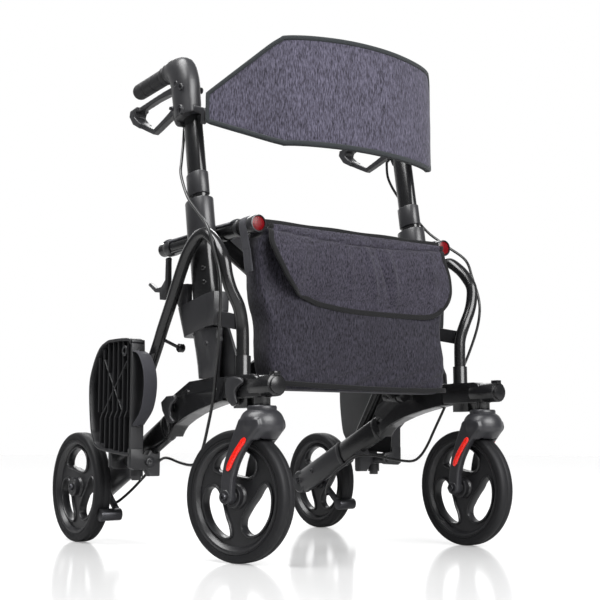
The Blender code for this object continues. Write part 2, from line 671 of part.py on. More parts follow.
def side_loop(label, side):
    bar = tube(thinned(smooth([P(*p) for p in LOOP], 2), 7), LOOP_RADIUS, resolution=3)
    half = LEG_WIDTH / 2 + SLEEVE_WALL
    y, z = STAY_Y - 0.004, 0.1500
    lug = rod(P(FRAME_X + half + GAP, y, z), P(LOOP_X, y, z), 0.0075, 10)
    bolt = rod(P(LOOP_X, y, z), P(LOOP_X + LOOP_RADIUS + 0.0020, y, z), 0.0050, 10, 0.0042)
    stem = rod(P(LOOP_X, -0.2690, 0.3570), P(LOOP_X - 0.0220, *KNOB), 0.0030, 8)
    knob = rod(P(LOOP_X - 0.0300, *KNOB), P(LOOP_X - 0.0180, *KNOB), 0.0075, 10)
    return piece(f"side_loop_{label}", bar, GLOSS, join(lug, bolt, stem, knob), side)


# Posts. The post leans to the rear; its sections lie square to its axis.
POST_AXIS = Vector((0, POST_LEAN, 1)).normalized()
POST_ACROSS = Vector((1, 0, 0))
CASTING_LOW = 0.3620
CASTING_HIGH = 0.4140
CASTING_HALF = 0.0205
POST_FOOT = 0.2835
BUSH = (0.5200, 0.5820)
BUSH_WALL = 0.0018
INNER_FOOT = BUSH[1] - HANDLE_TRAVEL - HANDLE_HELD
COLLAR = (0.5910, 0.6300)
COLLAR_WALL = 0.0025
INNER_TOP = 0.7500


def post_point(z, x=POST_X):
    return P(x, POST_Y + POST_LEAN * (z - POST_Z), z)


def post_bar(low, high, size, count=14, x=POST_X):
    return oval_bar(post_point(low, x), post_point(high, x), POST_ACROSS, size[1], size[0], 2.3, count)


def square_to_post(y, z, x=POST_X):
    """The point at this y in the plane that cuts the post squarely at height z."""
    return P(x, y, z - POST_LEAN * (y - POST_Y - POST_LEAN * (z - POST_Z)))


def lower_post(label, side):
    levels = ((POST_FOOT, -0.3875, 0.0250, 0.0115), (0.3050, -0.3865, 0.0270, 0.0125),
              (0.3350, -0.3840, 0.0310, 0.0145), (CASTING_LOW + 0.002, -0.3810, 0.0365, 0.0165))
    foot = loft([oval(P(POST_X, y, z), (1, 0, 0), (0, 1, 0), b, a, 14, 2.6) for z, y, a, b in levels])
    lean = POST_AXIS.cross(POST_ACROSS)
    casting = loft([oval(square_to_post(y, z), (1, 0, 0), lean, a, b, 16, 5)
                    for y, z, a, b in ((-0.3731, CASTING_LOW, CASTING_HALF - 0.002, 0.0476),
                                       (-0.3700, 0.3900, CASTING_HALF, 0.0540),
                                       (-0.3660, CASTING_HIGH, CASTING_HALF, 0.0600))])
    rear_bar = plate([shifted([(-0.3440, 0.4000), (-0.3440, 0.4420), (-0.3080, 0.4440), (-0.3060, 0.4180),
                               (-0.3200, 0.4000)])],
                     ARCH_X - LOOP_RADIUS - 0.0125, ARCH_X - LOOP_RADIUS - 0.0025)
    front_bar = plate([shifted([(-0.4100, 0.3680), (-0.4100, 0.3920), (-0.4700, 0.3800),
                                (-0.4700, 0.3560)])], POST_X - 0.0050, POST_X + 0.0050)
    gusset = plate([shifted([(-0.3500, 0.3660), (-0.4200, 0.3660), (-0.4560, 0.3000), (-0.4570, 0.2840),
                             (-0.3450, 0.2840)])], POST_X - 0.0175, POST_X - 0.0130)
    screw = rod(P(POST_X + 0.0100, -0.4000, 0.3389), P(POST_X + 0.0165, -0.4000, 0.3389), 0.0040, 10)
    knob = rod(P(POST_X, -0.4100, 0.3450), P(POST_X, -0.4220, 0.3450), 0.0045, 10)
    return piece(f"lower_post_{label}", foot, SATIN,
                 join(casting, rear_bar, front_bar, gusset, screw, knob), side)


def outer_post(label, side):
    bar = post_bar(CASTING_HIGH + GAP, BUSH[1], OUTER_POST)
    bush = post_bar(BUSH[0], BUSH[1] + 0.0010, [v + 2 * BUSH_WALL for v in OUTER_POST])
    bore = post_bar(INNER_FOOT - 0.0040, BUSH[1] + 0.0200, [v + 2 * SLIP for v in INNER_POST])
    screws = []
    for z in (0.4625, 0.4391):
        at = post_point(z) + Vector((OUTER_POST[1] / 2 - 0.0075, -OUTER_POST[0] * 0.40, 0))
        screws.append(rod(at - Vector((0.004, -0.0015, 0)), at + Vector((0.0055, -0.0020, 0)), 0.0036, 8))
    return piece(f"outer_post_{label}", bar, GLOSS, join(bush, *screws) + cut(bore), side)


def handle_post(label, side):
    bar = post_bar(INNER_FOOT, INNER_TOP, INNER_POST)
    ring = post_bar(*COLLAR, [v + 2 * COLLAR_WALL for v in INNER_POST])
    return piece(f"handle_post_{label}", bar, GLOSS, join(ring), side, side_point(HANDLE_X, side))


def side_point(x, side, y=-0.3125, z=0.826):
    return P(side * x, y, z)


# Handle: housing, grip and brake lever, in one body with the inner post
HOUSING = ((-0.3268, 0.7310, 0.0283, 0.0197, 8.8), (-0.3215, 0.7600, 0.0292, 0.0206, 8.8),
           (-0.3160, 0.7930, 0.0302, 0.0209, 15), (-0.3055, 0.8130, 0.0312, 0.0209, 48),
           (-0.2870, 0.8240, 0.0215, 0.0199, 82), (-0.2625, 0.8265, 0.0175, 0.0175, 92))
GRIP_START = Vector((-0.2622, 0.8267))
GRIP_END = Vector((-0.1450, 0.8226))
GRIP_CORE = 0.0095
LEVER_PIVOT = (-0.2980, 0.7513)
LEVER_HALF = 0.0060
LEVER = [(-0.3030, 0.7440), (-0.2800, 0.7440), (-0.2180, 0.7290), (-0.2050, 0.7305),
         (-0.1450, 0.7600), (-0.1300, 0.7780), (-0.1330, 0.7880), (-0.1750, 0.7915),
         (-0.2580, 0.7965), (-0.2850, 0.7930), (-0.3040, 0.7640), (-0.3060, 0.7520)]
LEVER_HOLE = [(-0.2780, 0.7570), (-0.2200, 0.7385), (-0.2080, 0.7390), (-0.1640, 0.7620),
              (-0.1500, 0.7740), (-0.1540, 0.7810), (-0.1900, 0.7835), (-0.2350, 0.7860),
              (-0.2760, 0.7835), (-0.2860, 0.7700)]
LEVER_END = [(-0.1615, 0.7510), (-0.1443, 0.7594), (-0.1292, 0.7778), (-0.1323, 0.7887),
             (-0.1525, 0.7904), (-0.1549, 0.7808), (-0.1508, 0.7745), (-0.1648, 0.7628)]
LEVER_END_HALF = 0.0125  # the loop widens at its rear end
PIN_RADIUS = 0.0030


def handle_housing(label, side):
    rings = []
    for y, z, a, b, degrees in HOUSING:
        lean = math.radians(degrees)
        normal = Vector((0, math.sin(lean), math.cos(lean)))
        rings.append(oval(P(HANDLE_X, y, z), (1, 0, 0), normal.cross(Vector((1, 0, 0))), b, a, 16, 2.4))
    shell = loft(rings)
    core = rod(P(HANDLE_X, *GRIP_START) - Vector((0, 0.01, 0)),
               P(HANDLE_X, *GRIP_END.lerp(GRIP_START, 0.05)), GRIP_CORE, 10)
    well = post_bar(0.7060, INNER_TOP + GAP, [v + 2 * GAP for v in INNER_POST])
    slot = plate([shifted([(-0.3090, 0.7365), (-0.3090, 0.7640), (-0.2890, 0.8010), (-0.2700, 0.8010),
                           (-0.2700, 0.7361)])],
                 HANDLE_X - LEVER_HALF - RUN, HANDLE_X + LEVER_HALF + RUN)
    pin = rod(P(HANDLE_X - 0.0150, *LEVER_PIVOT), P(HANDLE_X + 0.0200, *LEVER_PIVOT), PIN_RADIUS, 8)
    head = rod(P(HANDLE_X + 0.0150, *LEVER_PIVOT), P(HANDLE_X + 0.0215, *LEVER_PIVOT), 0.0055, 10)
    ferrule = rod(P(CABLE_X, -0.3010, 0.7423), P(CABLE_X, -0.2930, 0.7330), 0.0034, 8)
    arm = plate([shifted([(-0.3500, 0.7370), (-0.3500, 0.7470), (-0.3870, 0.7330), (-0.3896, 0.7270),
                          (-0.3800, 0.7080), (-0.3740, 0.7080), (-0.3760, 0.7250)])],
                HANDLE_X - 0.0045, HANDLE_X + 0.0045)
    return piece(f"handle_housing_{label}", shell, SATIN,
                 cut(well, slot) + join(core, pin, head, ferrule, arm), side, side_point(HANDLE_X, side))


def grip(label, side):
    length = (GRIP_END - GRIP_START).length
    ribs, profile = 3, [(0.0, length), (0.0110, length), (GRIP_RADIUS - 0.0015, length - 0.0035)]
    low, high = 0.0170, length - 0.0060
    for i in range(ribs):
        top = high - (high - low) * i / ribs
        width = (high - low) / ribs
        profile += [(GRIP_RADIUS, top), (GRIP_RADIUS, top - width * 0.75),
                    (GRIP_RADIUS - 0.0015, top - width * 0.88)]
    profile += [(GRIP_RADIUS + 0.0015, low - 0.0020), (GRIP_RADIUS + 0.0015, 0.0075),
                (GRIP_RADIUS - 0.0005, 0.0060), (GRIP_RADIUS - 0.0005, GAP), (0.0, GAP)]
    start = P(HANDLE_X, *GRIP_START)
    direction = P(HANDLE_X, *GRIP_END) - start
    body = turned(profile, start, direction, 12)
    bore = rod(start - direction * 0.1, P(HANDLE_X, *GRIP_END.lerp(GRIP_START, 0.05)) + direction * 0.01,
               GRIP_CORE + 2 * GAP, 10)
    return piece(f"grip_{label}", body, RUBBER, cut(bore), side, side_point(HANDLE_X, side))


def brake_lever(label, side):
    body = plate([shifted(LEVER), shifted(LEVER_HOLE)], HANDLE_X - LEVER_HALF, HANDLE_X + LEVER_HALF,
                 round_by=0.0022)
    end = plate([shifted(LEVER_END)], HANDLE_X - LEVER_END_HALF, HANDLE_X + LEVER_END_HALF, round_by=0.0022)
    eye = rod(P(0.2, *LEVER_PIVOT), P(0.3, *LEVER_PIVOT), PIN_RADIUS + RUN / 2, 8)
    return piece(f"brake_lever_{label}", body, PLASTIC, join(end) + cut(eye), side,
                 P(side * HANDLE_X, *LEVER_PIVOT))


# Brake: the arm on the leg that presses a pad on the rear tyre, and its cable
CABLE_X = 0.2300
CABLE_RADIUS = 0.0025
ARM_PIVOT = (-0.0360, 0.1080)
ARM_LOW = FRAME_X + LEG_WIDTH / 2 + SLEEVE_WALL + 0.0006
ARM_THICKNESS = 0.0060
PAD_CENTRE = (-0.0995, 0.0535)
PAD_GAP = 0.0025
CABLE = [(CABLE_X, -0.2922, 0.7320), (CABLE_X + 0.0005, -0.2885, 0.7270), (0.2330, -0.2900, 0.6970),
         (0.2440, -0.3040, 0.6612), (0.2570, -0.3250, 0.6297), (0.2660, -0.3640, 0.5831),
         (0.2730, -0.4109, 0.5479), (0.2800, -0.4527, 0.5163), (0.2800, -0.4697, 0.4803),
         (0.2790, -0.4848, 0.4430), (0.2780, -0.4879, 0.4132), (0.2740, -0.4804, 0.3755),
         (0.2640, -0.4589, 0.3186), (0.2560, -0.4389, 0.2841), (0.2505, -0.4235, 0.2488),
         (0.2450, -0.3978, 0.2036), (0.2420, -0.3790, 0.1725), (0.2400, -0.3602, 0.1525),
         (0.2380, -0.3377, 0.1441), (0.2340, -0.2930, 0.1470), (0.2270, -0.2403, 0.1540),
         (0.2185, -0.2000, 0.1520), (0.2180, -0.1650, 0.1370), (0.2180, -0.1250, 0.1150),
         (0.2250, -0.0950, 0.0930), (0.2370, -0.0735, 0.0750), (ARM_LOW - 0.0020, -0.0700, 0.0726)]


def brake_arm(label, side):
    body = plate([shifted(strip([ARM_PIVOT, (-0.0640, 0.0830), (-0.0930, 0.0600)], 0.0130))],
                 ARM_LOW, ARM_LOW + ARM_THICKNESS, round_by=0.0010)
    hub = rod(P(ARM_LOW, *ARM_PIVOT), P(ARM_LOW + ARM_THICKNESS, *ARM_PIVOT), 0.0095, 12)
    pad = rod(P(ARM_LOW, *PAD_CENTRE), P(REAR_TRACK + TYRE_WIDTH / 2 - 0.0060, *PAD_CENTRE), 0.0110, 12)
    hollow = rod(P(ARM_LOW + ARM_THICKNESS + 0.001, 0, WHEEL_RADIUS), P(0.32, 0, WHEEL_RADIUS),
                 WHEEL_RADIUS + PAD_GAP, 48)
    return piece(f"brake_arm_{label}", body, STEEL, join(hub, pad) + cut(hollow), side,
                 P(side * FRAME_X, *ARM_PIVOT))


def brake_cable(label, side):
    route = resample_open(smooth([P(*p) for p in CABLE], 6), 40)
    return piece(f"brake_cable_{label}", tube(route, CABLE_RADIUS, resolution=1), RUBBER, (), side)


def resample_open(points, count):
    """Evenly spaced points along an open line, its ends kept."""
    lengths = [(b - a).length for a, b in zip(points, points[1:])]
    found, i, passed = [], 0, 0.0
    for k in range(count):
        at = sum(lengths) * k / (count - 1)
        while i < len(lengths) - 1 and passed + lengths[i] < at:
            passed += lengths[i]
            i += 1
        found.append(points[i].lerp(points[i + 1], min(1.0, (at - passed) / lengths[i])))
    return found


for label, side in SIDES.items():
    side_loop(label, side)
    lower_post(label, side)
    outer_post(label, side)
    handle_post(label, side)
    handle_housing(label, side)
    grip(label, side)
    brake_lever(label, side)
    brake_arm(label, side)
    brake_cable(label, side)

# Footrests: hanger with its stub pin and hinge, plate with ribs, and the strap behind the heel
HINGE_RADIUS = 0.0100
HINGE_PIN = 0.0040
FRONT_ARM = (-0.2394, -0.2270)
REAR_ARM = (-0.1660, -0.1540)
PLATE_INNER_X = PLATE_OUTER_X - PLATE_THICKNESS
PLATE_OUTLINE = [(-0.2250, 0.1583), (-0.1147, 0.1696), (-0.0900, 0.1900), (-0.0795, 0.2150),
                 (-0.0729, 0.2812), (-0.0860, 0.3180), (-0.1111, 0.3478), (-0.1400, 0.3590),
                 (-0.1622, 0.3609), (-0.2200, 0.3590), (-0.2340, 0.3520), (-0.2394, 0.3400),
                 (-0.2380, 0.1900), (-0.2360, 0.1640)]
PLATE_RIM = 0.0050
PLATE_FLOOR = 0.0045
RIB = 0.0024
RIB_PITCH = 0.0185
RIB_HEIGHT_X = PLATE_OUTER_X - 0.0020
CHEVRON_Z = 0.2250
BOSS = (-0.2080, 0.3380)


def footplate(label, side):
    body = plate([shifted(PLATE_OUTLINE)], PLATE_INNER_X, PLATE_OUTER_X, round_by=0.0012)
    pocket = plate([[p[:] for p in grown(shifted(PLATE_OUTLINE), -PLATE_RIM)]],
                   PLATE_INNER_X + PLATE_FLOOR, PLATE_OUTER_X + 0.01)
    middle = (PLATE_INNER_X + PLATE_FLOOR + RIB_HEIGHT_X) / 2 - 0.0005
    depth = RIB_HEIGHT_X - PLATE_INNER_X - PLATE_FLOOR + 0.0010
    ribs = []
    for i in range(7):
        y = -0.2200 + RIB_PITCH * i
        low = CHEVRON_Z + 0.0100
        high = 0.3560 - max(0.0, i - 4) * 0.0120
        ribs.append(block(P(middle, y, (low + high) / 2), (depth, RIB, high - low)))
        foot = 0.1640 + 0.0060 * max(0.0, i - 3) ** 1.4
        if i < 6:
            ribs.append(block(P(middle, y + RIB_PITCH * 0.55, (foot + CHEVRON_Z) / 2),
                              (depth, RIB, CHEVRON_Z - foot)))
            start = Vector((y + RIB_PITCH * 0.55, CHEVRON_Z - 0.0010))
            end = Vector((y, CHEVRON_Z + 0.0110))
            ribs.append(plate([shifted(strip([start, end], RIB))], middle - depth / 2, middle + depth / 2))
    for a, b in (((-0.2150, 0.3200), (-0.1250, 0.2330)), ((-0.1250, 0.3300), (-0.2000, 0.2330))):
        ribs.append(plate([shifted(strip([a, b], RIB))], middle - depth / 2, middle + depth / 2 - 0.0010))
    boss = rod(P(middle - depth / 2, *BOSS), P(RIB_HEIGHT_X + 0.0010, *BOSS), 0.0095, 12)
    recess = rod(P(RIB_HEIGHT_X - 0.0030, *BOSS), P(RIB_HEIGHT_X + 0.0100, *BOSS), 0.0050, 8)
    arms = []
    for low, high in (FRONT_ARM, REAR_ARM):
        outline = (arc((PLATE_PIVOT_X, PLATE_PIVOT_Z), HINGE_RADIUS + 0.0015, 100, 262, 6)
                   + [(PLATE_OUTER_X - 0.0080, 0.1350), (PLATE_OUTER_X - 0.0010, 0.1390),
                      (PLATE_OUTER_X - 0.0010, 0.1700), (PLATE_INNER_X + 0.0015, 0.1700),
                      (PLATE_INNER_X + 0.0015, 0.1600)])
        arms.append(plate([outline], AXLE_Y + low, AXLE_Y + high, "y"))
    eye = rod(P(PLATE_PIVOT_X, -0.3, PLATE_PIVOT_Z), P(PLATE_PIVOT_X, -0.1, PLATE_PIVOT_Z),
              HINGE_PIN + GAP, 8)
    return piece(f"footplate_{label}", body, PLASTIC,
                 cut(pocket) + join(*ribs, boss, *arms) + cut(recess, eye), side,
                 P(side * PLATE_PIVOT_X, PLATE_PIVOT_Y, PLATE_PIVOT_Z))


def footrest_hanger(label, side):
    x, z = PLATE_PIVOT_X, PLATE_PIVOT_Z
    barrel = rod(P(x, FRONT_ARM[1] + GAP, z), P(x, REAR_ARM[0] - GAP, z), HINGE_RADIUS, 14)
    pin = rod(P(x, FRONT_ARM[0] - GAP - 0.0010, z), P(x, REAR_ARM[1] + GAP + 0.0010, z), HINGE_PIN, 8)
    heads = [rod(P(x, FRONT_ARM[0] - GAP - 0.0040, z), P(x, FRONT_ARM[0] - GAP, z), 0.0068, 10),
             rod(P(x, REAR_ARM[1] + GAP, z), P(x, REAR_ARM[1] + GAP + 0.0040, z), 0.0068, 6)]
    socket = rod(P(x, FRONT_ARM[0] - 0.0100, z), P(x, FRONT_ARM[0] - 0.0020, z), 0.0030, 6)
    stub = rod(P(x, PLATE_PIVOT_Y, 0.1165), P(x, PLATE_PIVOT_Y, z), STUB_RADIUS, 12)
    shoulder = rod(P(x, PLATE_PIVOT_Y, SOCKET_HIGH + GAP), P(x, PLATE_PIVOT_Y, z), STUB_RADIUS + 0.0030, 12)
    return piece(f"footrest_hanger_{label}", barrel, SATIN,
                 join(pin, *heads, stub, shoulder) + cut(socket), side,
                 P(side * PLATE_PIVOT_X, PLATE_PIVOT_Y, PLATE_PIVOT_Z))


HEEL = [(-0.2402, 0.3350), (-0.2600, 0.3270), (-0.2780, 0.3020), (-0.2820, 0.2700),
        (-0.2700, 0.2350), (-0.2402, 0.2100)]


def heel_loop(label, side):
    line = [(p.y, p.z) for p in smooth([P(0, *p) for p in HEEL], 2)]
    ends = plate([strip(line, 0.0022)], PLATE_INNER_X + 0.0010, PLATE_OUTER_X - 0.0020)
    return piece(f"heel_loop_{label}", ends, WEBBING, (), side,
                 P(side * PLATE_PIVOT_X, PLATE_PIVOT_Y, PLATE_PIVOT_Z))


# Seat: a rail on each side, carried by the tops of the braces, with a cap and a reflector
RAIL_REAR = -0.1650
RAIL_FRONT = -0.4745
RING_Y = -0.4266
REFLECTOR_RADIUS = 0.0124
CAP_RADIUS = 0.0150


def seat_rail(label, side):
    bar = rod(P(RAIL_X, RAIL_REAR - 0.004, RAIL_Z), P(RAIL_X, RAIL_FRONT, RAIL_Z), RAIL_RADIUS, 16)
    cap = rod(P(RAIL_X, RAIL_REAR - 0.0220, RAIL_Z), P(RAIL_X, RAIL_REAR, RAIL_Z), CAP_RADIUS, 16,
              round_by=0.0025)
    ring = rod(P(RAIL_X, RING_Y - 0.004, RAIL_Z), P(RAIL_X, RING_Y + 0.004, RAIL_Z), 0.0142, 16)
    return piece(f"seat_rail_{label}", bar, GLOSS, join(cap, ring), side, P(side * RAIL_X, PIVOT_Y, RAIL_Z))


def rail_reflector(label, side):
    y = RAIL_FRONT - GAP
    lens = rod(P(RAIL_X, y, RAIL_Z), P(RAIL_X, y - 0.0050, RAIL_Z), REFLECTOR_RADIUS, 16, 0.0105)
    return piece(f"rail_reflector_{label}", lens, RED, (), side, P(side * RAIL_X, PIVOT_Y, RAIL_Z))


# Cross brace: two bars crossing on a bolt in the middle plane; each starts at a pivot
# inboard of one side beam and ends in a saddle under the rail of the other side
PIVOT_Y = sum(BRACE_Y) / 2
CROSS_Z = (PIVOT_Z + RAIL_Z) / 2


def cross_brace(name, side, y, with_bolt):
    foot, top = Vector((PIVOT_X, 0, PIVOT_Z)), Vector((-RAIL_X, 0, RAIL_Z))
    at = Matrix.Translation((0, AXLE_Y + y, 0))
    axis = (top - foot).normalized()
    bar = oval_bar(foot + axis * 0.009, top - axis * 0.0130, (0, 1, 0), BRACE_THICKNESS, BRACE_WIDTH, 4, 12)
    knuckle = rod((PIVOT_X, -KNUCKLE / 2, PIVOT_Z), (PIVOT_X, KNUCKLE / 2, PIVOT_Z), FOOT_RADIUS, 14)
    reach = (-0.0400, 0.0650) if y < PIVOT_Y else (-0.0450, 0.1500)
    saddle = rod((-RAIL_X, reach[0], RAIL_Z), (-RAIL_X, reach[1], RAIL_Z), RAIL_RADIUS + 0.0022, 14)
    channel = rod((-RAIL_X, -0.5, RAIL_Z), (-RAIL_X, 0.5, RAIL_Z), RAIL_RADIUS + 2 * GAP, 14)
    half = block((-RAIL_X - 0.0200, 0, RAIL_Z + 0.0120), (0.0600, 1.0, 0.0240))
    outside = block((-RAIL_X - 0.0400, 0, RAIL_Z), (0.0600, 1.0, 0.1))
    eye = rod((PIVOT_X, -0.05, PIVOT_Z), (PIVOT_X, 0.05, PIVOT_Z), PIVOT_PIN + GAP, 10)
    steps = join(knuckle, saddle) + cut(channel, half, outside, eye)
    if with_bolt:
        offset = BRACE_Y[1] - BRACE_Y[0]
        bolt = rod((0, -BRACE_THICKNESS, CROSS_Z), (0, offset + BRACE_THICKNESS / 2 + 0.002, CROSS_Z),
                   PIVOT_PIN, 10)
        head = rod((0, -BRACE_THICKNESS / 2 - 0.0045, CROSS_Z), (0, 0, CROSS_Z), 0.0085, 12)
        nut = rod((0, offset + BRACE_THICKNESS / 2 + GAP, CROSS_Z),
                  (0, offset + BRACE_THICKNESS / 2 + 0.006, CROSS_Z), 0.0085, 6)
        washer = rod((0, 0, CROSS_Z), (0, offset - BRACE_THICKNESS / 2 - GAP, CROSS_Z), 0.0090, 12)
        steps = join(knuckle, saddle, bolt, head, nut, washer) + cut(channel, half, outside, eye)
    else:
        steps += cut(rod((0, -0.05, CROSS_Z), (0, 0.05, CROSS_Z), PIVOT_PIN + GAP, 10))
    pivot = Vector((side * PIVOT_X, AXLE_Y + y, PIVOT_Z)) if with_bolt else Vector((0, AXLE_Y + y, CROSS_Z))
    return piece(name, bar, GLOSS, steps, side, pivot, at)


# Soft pieces
SEAT_REAR = -0.1880
SEAT_FRONT = -0.4215
SEAT_SAG = 0.0090
CLOTH = 0.0030


def seat_sling():
    """Cloth over both rails, hanging in a shallow curve between them, with a rounded hem."""
    count, wrap = 16, []
    top = RAIL_RADIUS + GAP + CLOTH / 2
    for degrees in (40, 55, 70, 85):
        angle = math.radians(degrees)
        wrap.append((RAIL_X + top * math.cos(angle), RAIL_Z + top * math.sin(angle)))
    middle = [(x, RAIL_Z + top - SEAT_SAG * (1 - (x / RAIL_X) ** 2))
              for x in (RAIL_X * (1 - 2 * i / count) * 0.94 for i in range(count + 1))]
    line = wrap + middle + [(-x, z) for x, z in wrap[::-1]]
    cloth = plate([strip(line, CLOTH)], AXLE_Y + SEAT_FRONT, AXLE_Y + SEAT_REAR, "y")
    return piece("seat_sling", cloth, FABRIC)


BAG_TOP = 0.5080
BAG_BOTTOM = 0.2670
BAG_BACK = -0.4370
BAG_FRONT = -0.4870


def bag():
    levels = ((BAG_BOTTOM, 0.172, 0.017), (BAG_BOTTOM + 0.008, 0.180, 0.023), (0.330, 0.187, 0.0265),
              (0.420, 0.196, 0.0270), (0.490, 0.203, 0.0255), (BAG_TOP, 0.203, 0.0240))
    middle = (BAG_BACK + BAG_FRONT) / 2
    body = loft([oval(P(0, middle, z), (1, 0, 0), (0, 1, 0), a, b, 16, 6) for z, a, b in levels])
    inner = RAIL_X - RAIL_RADIUS - 2 * GAP
    neck = loft([oval(P(0, middle, z), (1, 0, 0), (0, 1, 0), inner, b, 16, 6)
                 for z, b in ((BAG_TOP - 0.004, 0.0235), (RAIL_Z - 0.002, 0.0235))])
    flap_line = [(-inner, 0.5255), (-inner, 0.5120), (-0.2000, 0.5060), (-0.1900, 0.4740),
                 (-0.1600, 0.4420), (-0.1250, 0.4170), (-0.0700, 0.4010), (0.0, 0.3930),
                 (0.0900, 0.3930), (0.1500, 0.4030), (0.1960, 0.4250), (0.2060, 0.4500),
                 (0.2040, 0.5060), (inner, 0.5120), (inner, 0.5255)]
    flap = plate([flap_line], AXLE_Y + BAG_FRONT - 0.0040, AXLE_Y + BAG_FRONT + 0.0035, "y")
    return piece("bag", body, FABRIC, join(neck, flap))


BACK_TOP = 0.8480
BACK_BOTTOM = 0.6600
BACK_THICKNESS = 0.0080
BACK_PLAN = [(0.2450, -0.3930), (0.2200, -0.4200), (0.1900, -0.4530), (0.1575, -0.4860),
             (0.1250, -0.5020), (0.0800, -0.5130), (0.0400, -0.5185), (0.0, -0.5200)]


def backrest():
    """A padded band, bowed forward, that tapers to each handle."""
    plan = [Vector((x, y, 0)) for x, y in BACK_PLAN]
    plan = smooth(plan + [Vector((-p.x, p.y, 0)) for p in plan[-2::-1]], 1)
    sections = []
    for i, p in enumerate(plan):
        along_band = (plan[min(i + 1, len(plan) - 1)] - plan[max(i - 1, 0)]).normalized()
        normal = Vector((-along_band.y, along_band.x, 0))
        share = max(0.0, min(1.0, (0.2450 - abs(p.x)) / (0.2450 - 0.1575)))
        top = 0.7580 + (BACK_TOP - 0.7580) * share
        bottom = 0.7060 + (BACK_BOTTOM - 0.7060) * share
        crown = 0.0060 * max(0.0, 1 - (p.x / 0.1575) ** 2)
        thick = BACK_THICKNESS / 2
        centre = P(p.x, p.y, (top + crown + bottom - crown * 0.3) / 2)
        sections.append(oval(centre, normal, (0, 0, 1), thick, (top - bottom + crown * 1.3) / 2, 12, 5))
    band = loft(sections)
    return piece("backrest", band, FABRIC)


# Fold hook: a strip that hangs from the rear of the right rail
HOOK_Y = -0.1860
HOOK_EYE = 0.0042       # radius of the hook's round top, which turns under the rail's cap


def fold_hook():
    x = -RAIL_X
    pivot = RAIL_Z - CAP_RADIUS - GAP - HOOK_EYE
    outline = shifted([(HOOK_Y - 0.0045, pivot), (HOOK_Y + 0.0045, pivot), (HOOK_Y + 0.0060, 0.4720),
                       (HOOK_Y + 0.0200, 0.4610), (HOOK_Y + 0.0400, 0.4600), (HOOK_Y + 0.0640, 0.4740),
                       (HOOK_Y + 0.0700, 0.4700), (HOOK_Y + 0.0430, 0.4535), (HOOK_Y + 0.0270, 0.4520),
                       (HOOK_Y + 0.0250, 0.4380), (HOOK_Y + 0.0100, 0.4360), (HOOK_Y + 0.0030, 0.4500),
                       (HOOK_Y - 0.0050, 0.4650)])
    body = plate([outline], x - 0.0038, x + 0.0038, round_by=0.0008)
    eye = rod(P(x, HOOK_Y - 0.0045, pivot), P(x, HOOK_Y + 0.0045, pivot), HOOK_EYE, 12)
    return piece("fold_hook", body, PLASTIC, join(eye), 1, P(x, HOOK_Y, pivot))


for label, side in SIDES.items():
    footplate(label, side)
    footrest_hanger(label, side)
    heel_loop(label, side)
    seat_rail(label, side)
    rail_reflector(label, side)
cross_brace("cross_brace_a", SIDES["right"], BRACE_Y[0], True)
cross_brace("cross_brace_b", SIDES["left"], BRACE_Y[1], False)
seat_sling()
bag()
backrest()
fold_hook()
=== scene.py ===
"""Folding rollator and transport chair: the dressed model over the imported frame.

Metres, +Z up, -Y the way the user walks. Distances along Y are given from the rear axle
and at() turns them into world places. Shapes are drawn for the left side (+X) and mirrored.
"""

import math

import bmesh
import bpy
from mathutils import Matrix, Vector
from mathutils.geometry import tessellate_polygon


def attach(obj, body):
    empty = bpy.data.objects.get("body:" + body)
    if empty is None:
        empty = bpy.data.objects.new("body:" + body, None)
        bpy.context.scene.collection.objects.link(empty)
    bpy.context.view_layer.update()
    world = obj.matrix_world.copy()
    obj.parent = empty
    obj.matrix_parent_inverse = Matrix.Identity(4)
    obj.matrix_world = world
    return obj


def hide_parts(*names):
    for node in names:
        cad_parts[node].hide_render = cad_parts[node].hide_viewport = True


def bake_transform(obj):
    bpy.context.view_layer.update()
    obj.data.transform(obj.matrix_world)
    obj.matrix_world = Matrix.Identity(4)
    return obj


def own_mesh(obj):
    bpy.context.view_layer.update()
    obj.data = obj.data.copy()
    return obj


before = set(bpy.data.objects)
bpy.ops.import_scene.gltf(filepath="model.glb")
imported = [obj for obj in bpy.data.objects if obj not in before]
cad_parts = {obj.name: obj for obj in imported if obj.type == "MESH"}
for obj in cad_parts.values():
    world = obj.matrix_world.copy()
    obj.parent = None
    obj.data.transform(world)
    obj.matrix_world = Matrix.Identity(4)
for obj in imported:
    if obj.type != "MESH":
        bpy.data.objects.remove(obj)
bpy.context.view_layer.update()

# Studio: a white sweep in front of the camera, a dim room behind it and three soft boxes.
# The floor is glazed enough to carry a faint mirror image of the wheels.
REAR_AXLE_Y = 0.24505
PHOTO_YAW, PHOTO_PITCH, PHOTO_ROLL = math.radians(-35.86), math.radians(7.28), math.radians(-0.2)
PHOTO_WIDTH, FOCAL_LENGTH, FILM_WIDTH = 600, 1106, 36


def at(x, y, z):
    """A place in the room, with y given from the rear axle."""
    return Vector((x, REAR_AXLE_Y + y, z))


def hex_colour(code):
    """An sRGB hex value as the linear colour that a shader takes."""
    found = []
    for i in (1, 3, 5):
        c = int(code[i:i + 2], 16) / 255
        found.append(c / 12.92 if c <= 0.04045 else ((c + 0.055) / 1.055) ** 2.4)
    return (*found, 1.0)


def add(tree, kind, sockets=None, **settings):
    """Adds a node, sets it, and links every socket that is given another node's output."""
    made = tree.nodes.new("ShaderNode" + kind)
    for name, value in settings.items():
        setattr(made, name, value)
    for name, value in (sockets or {}).items():
        if isinstance(value, bpy.types.NodeSocket):
            tree.links.new(value, made.inputs[name])
        else:
            made.inputs[name].default_value = value
    return made


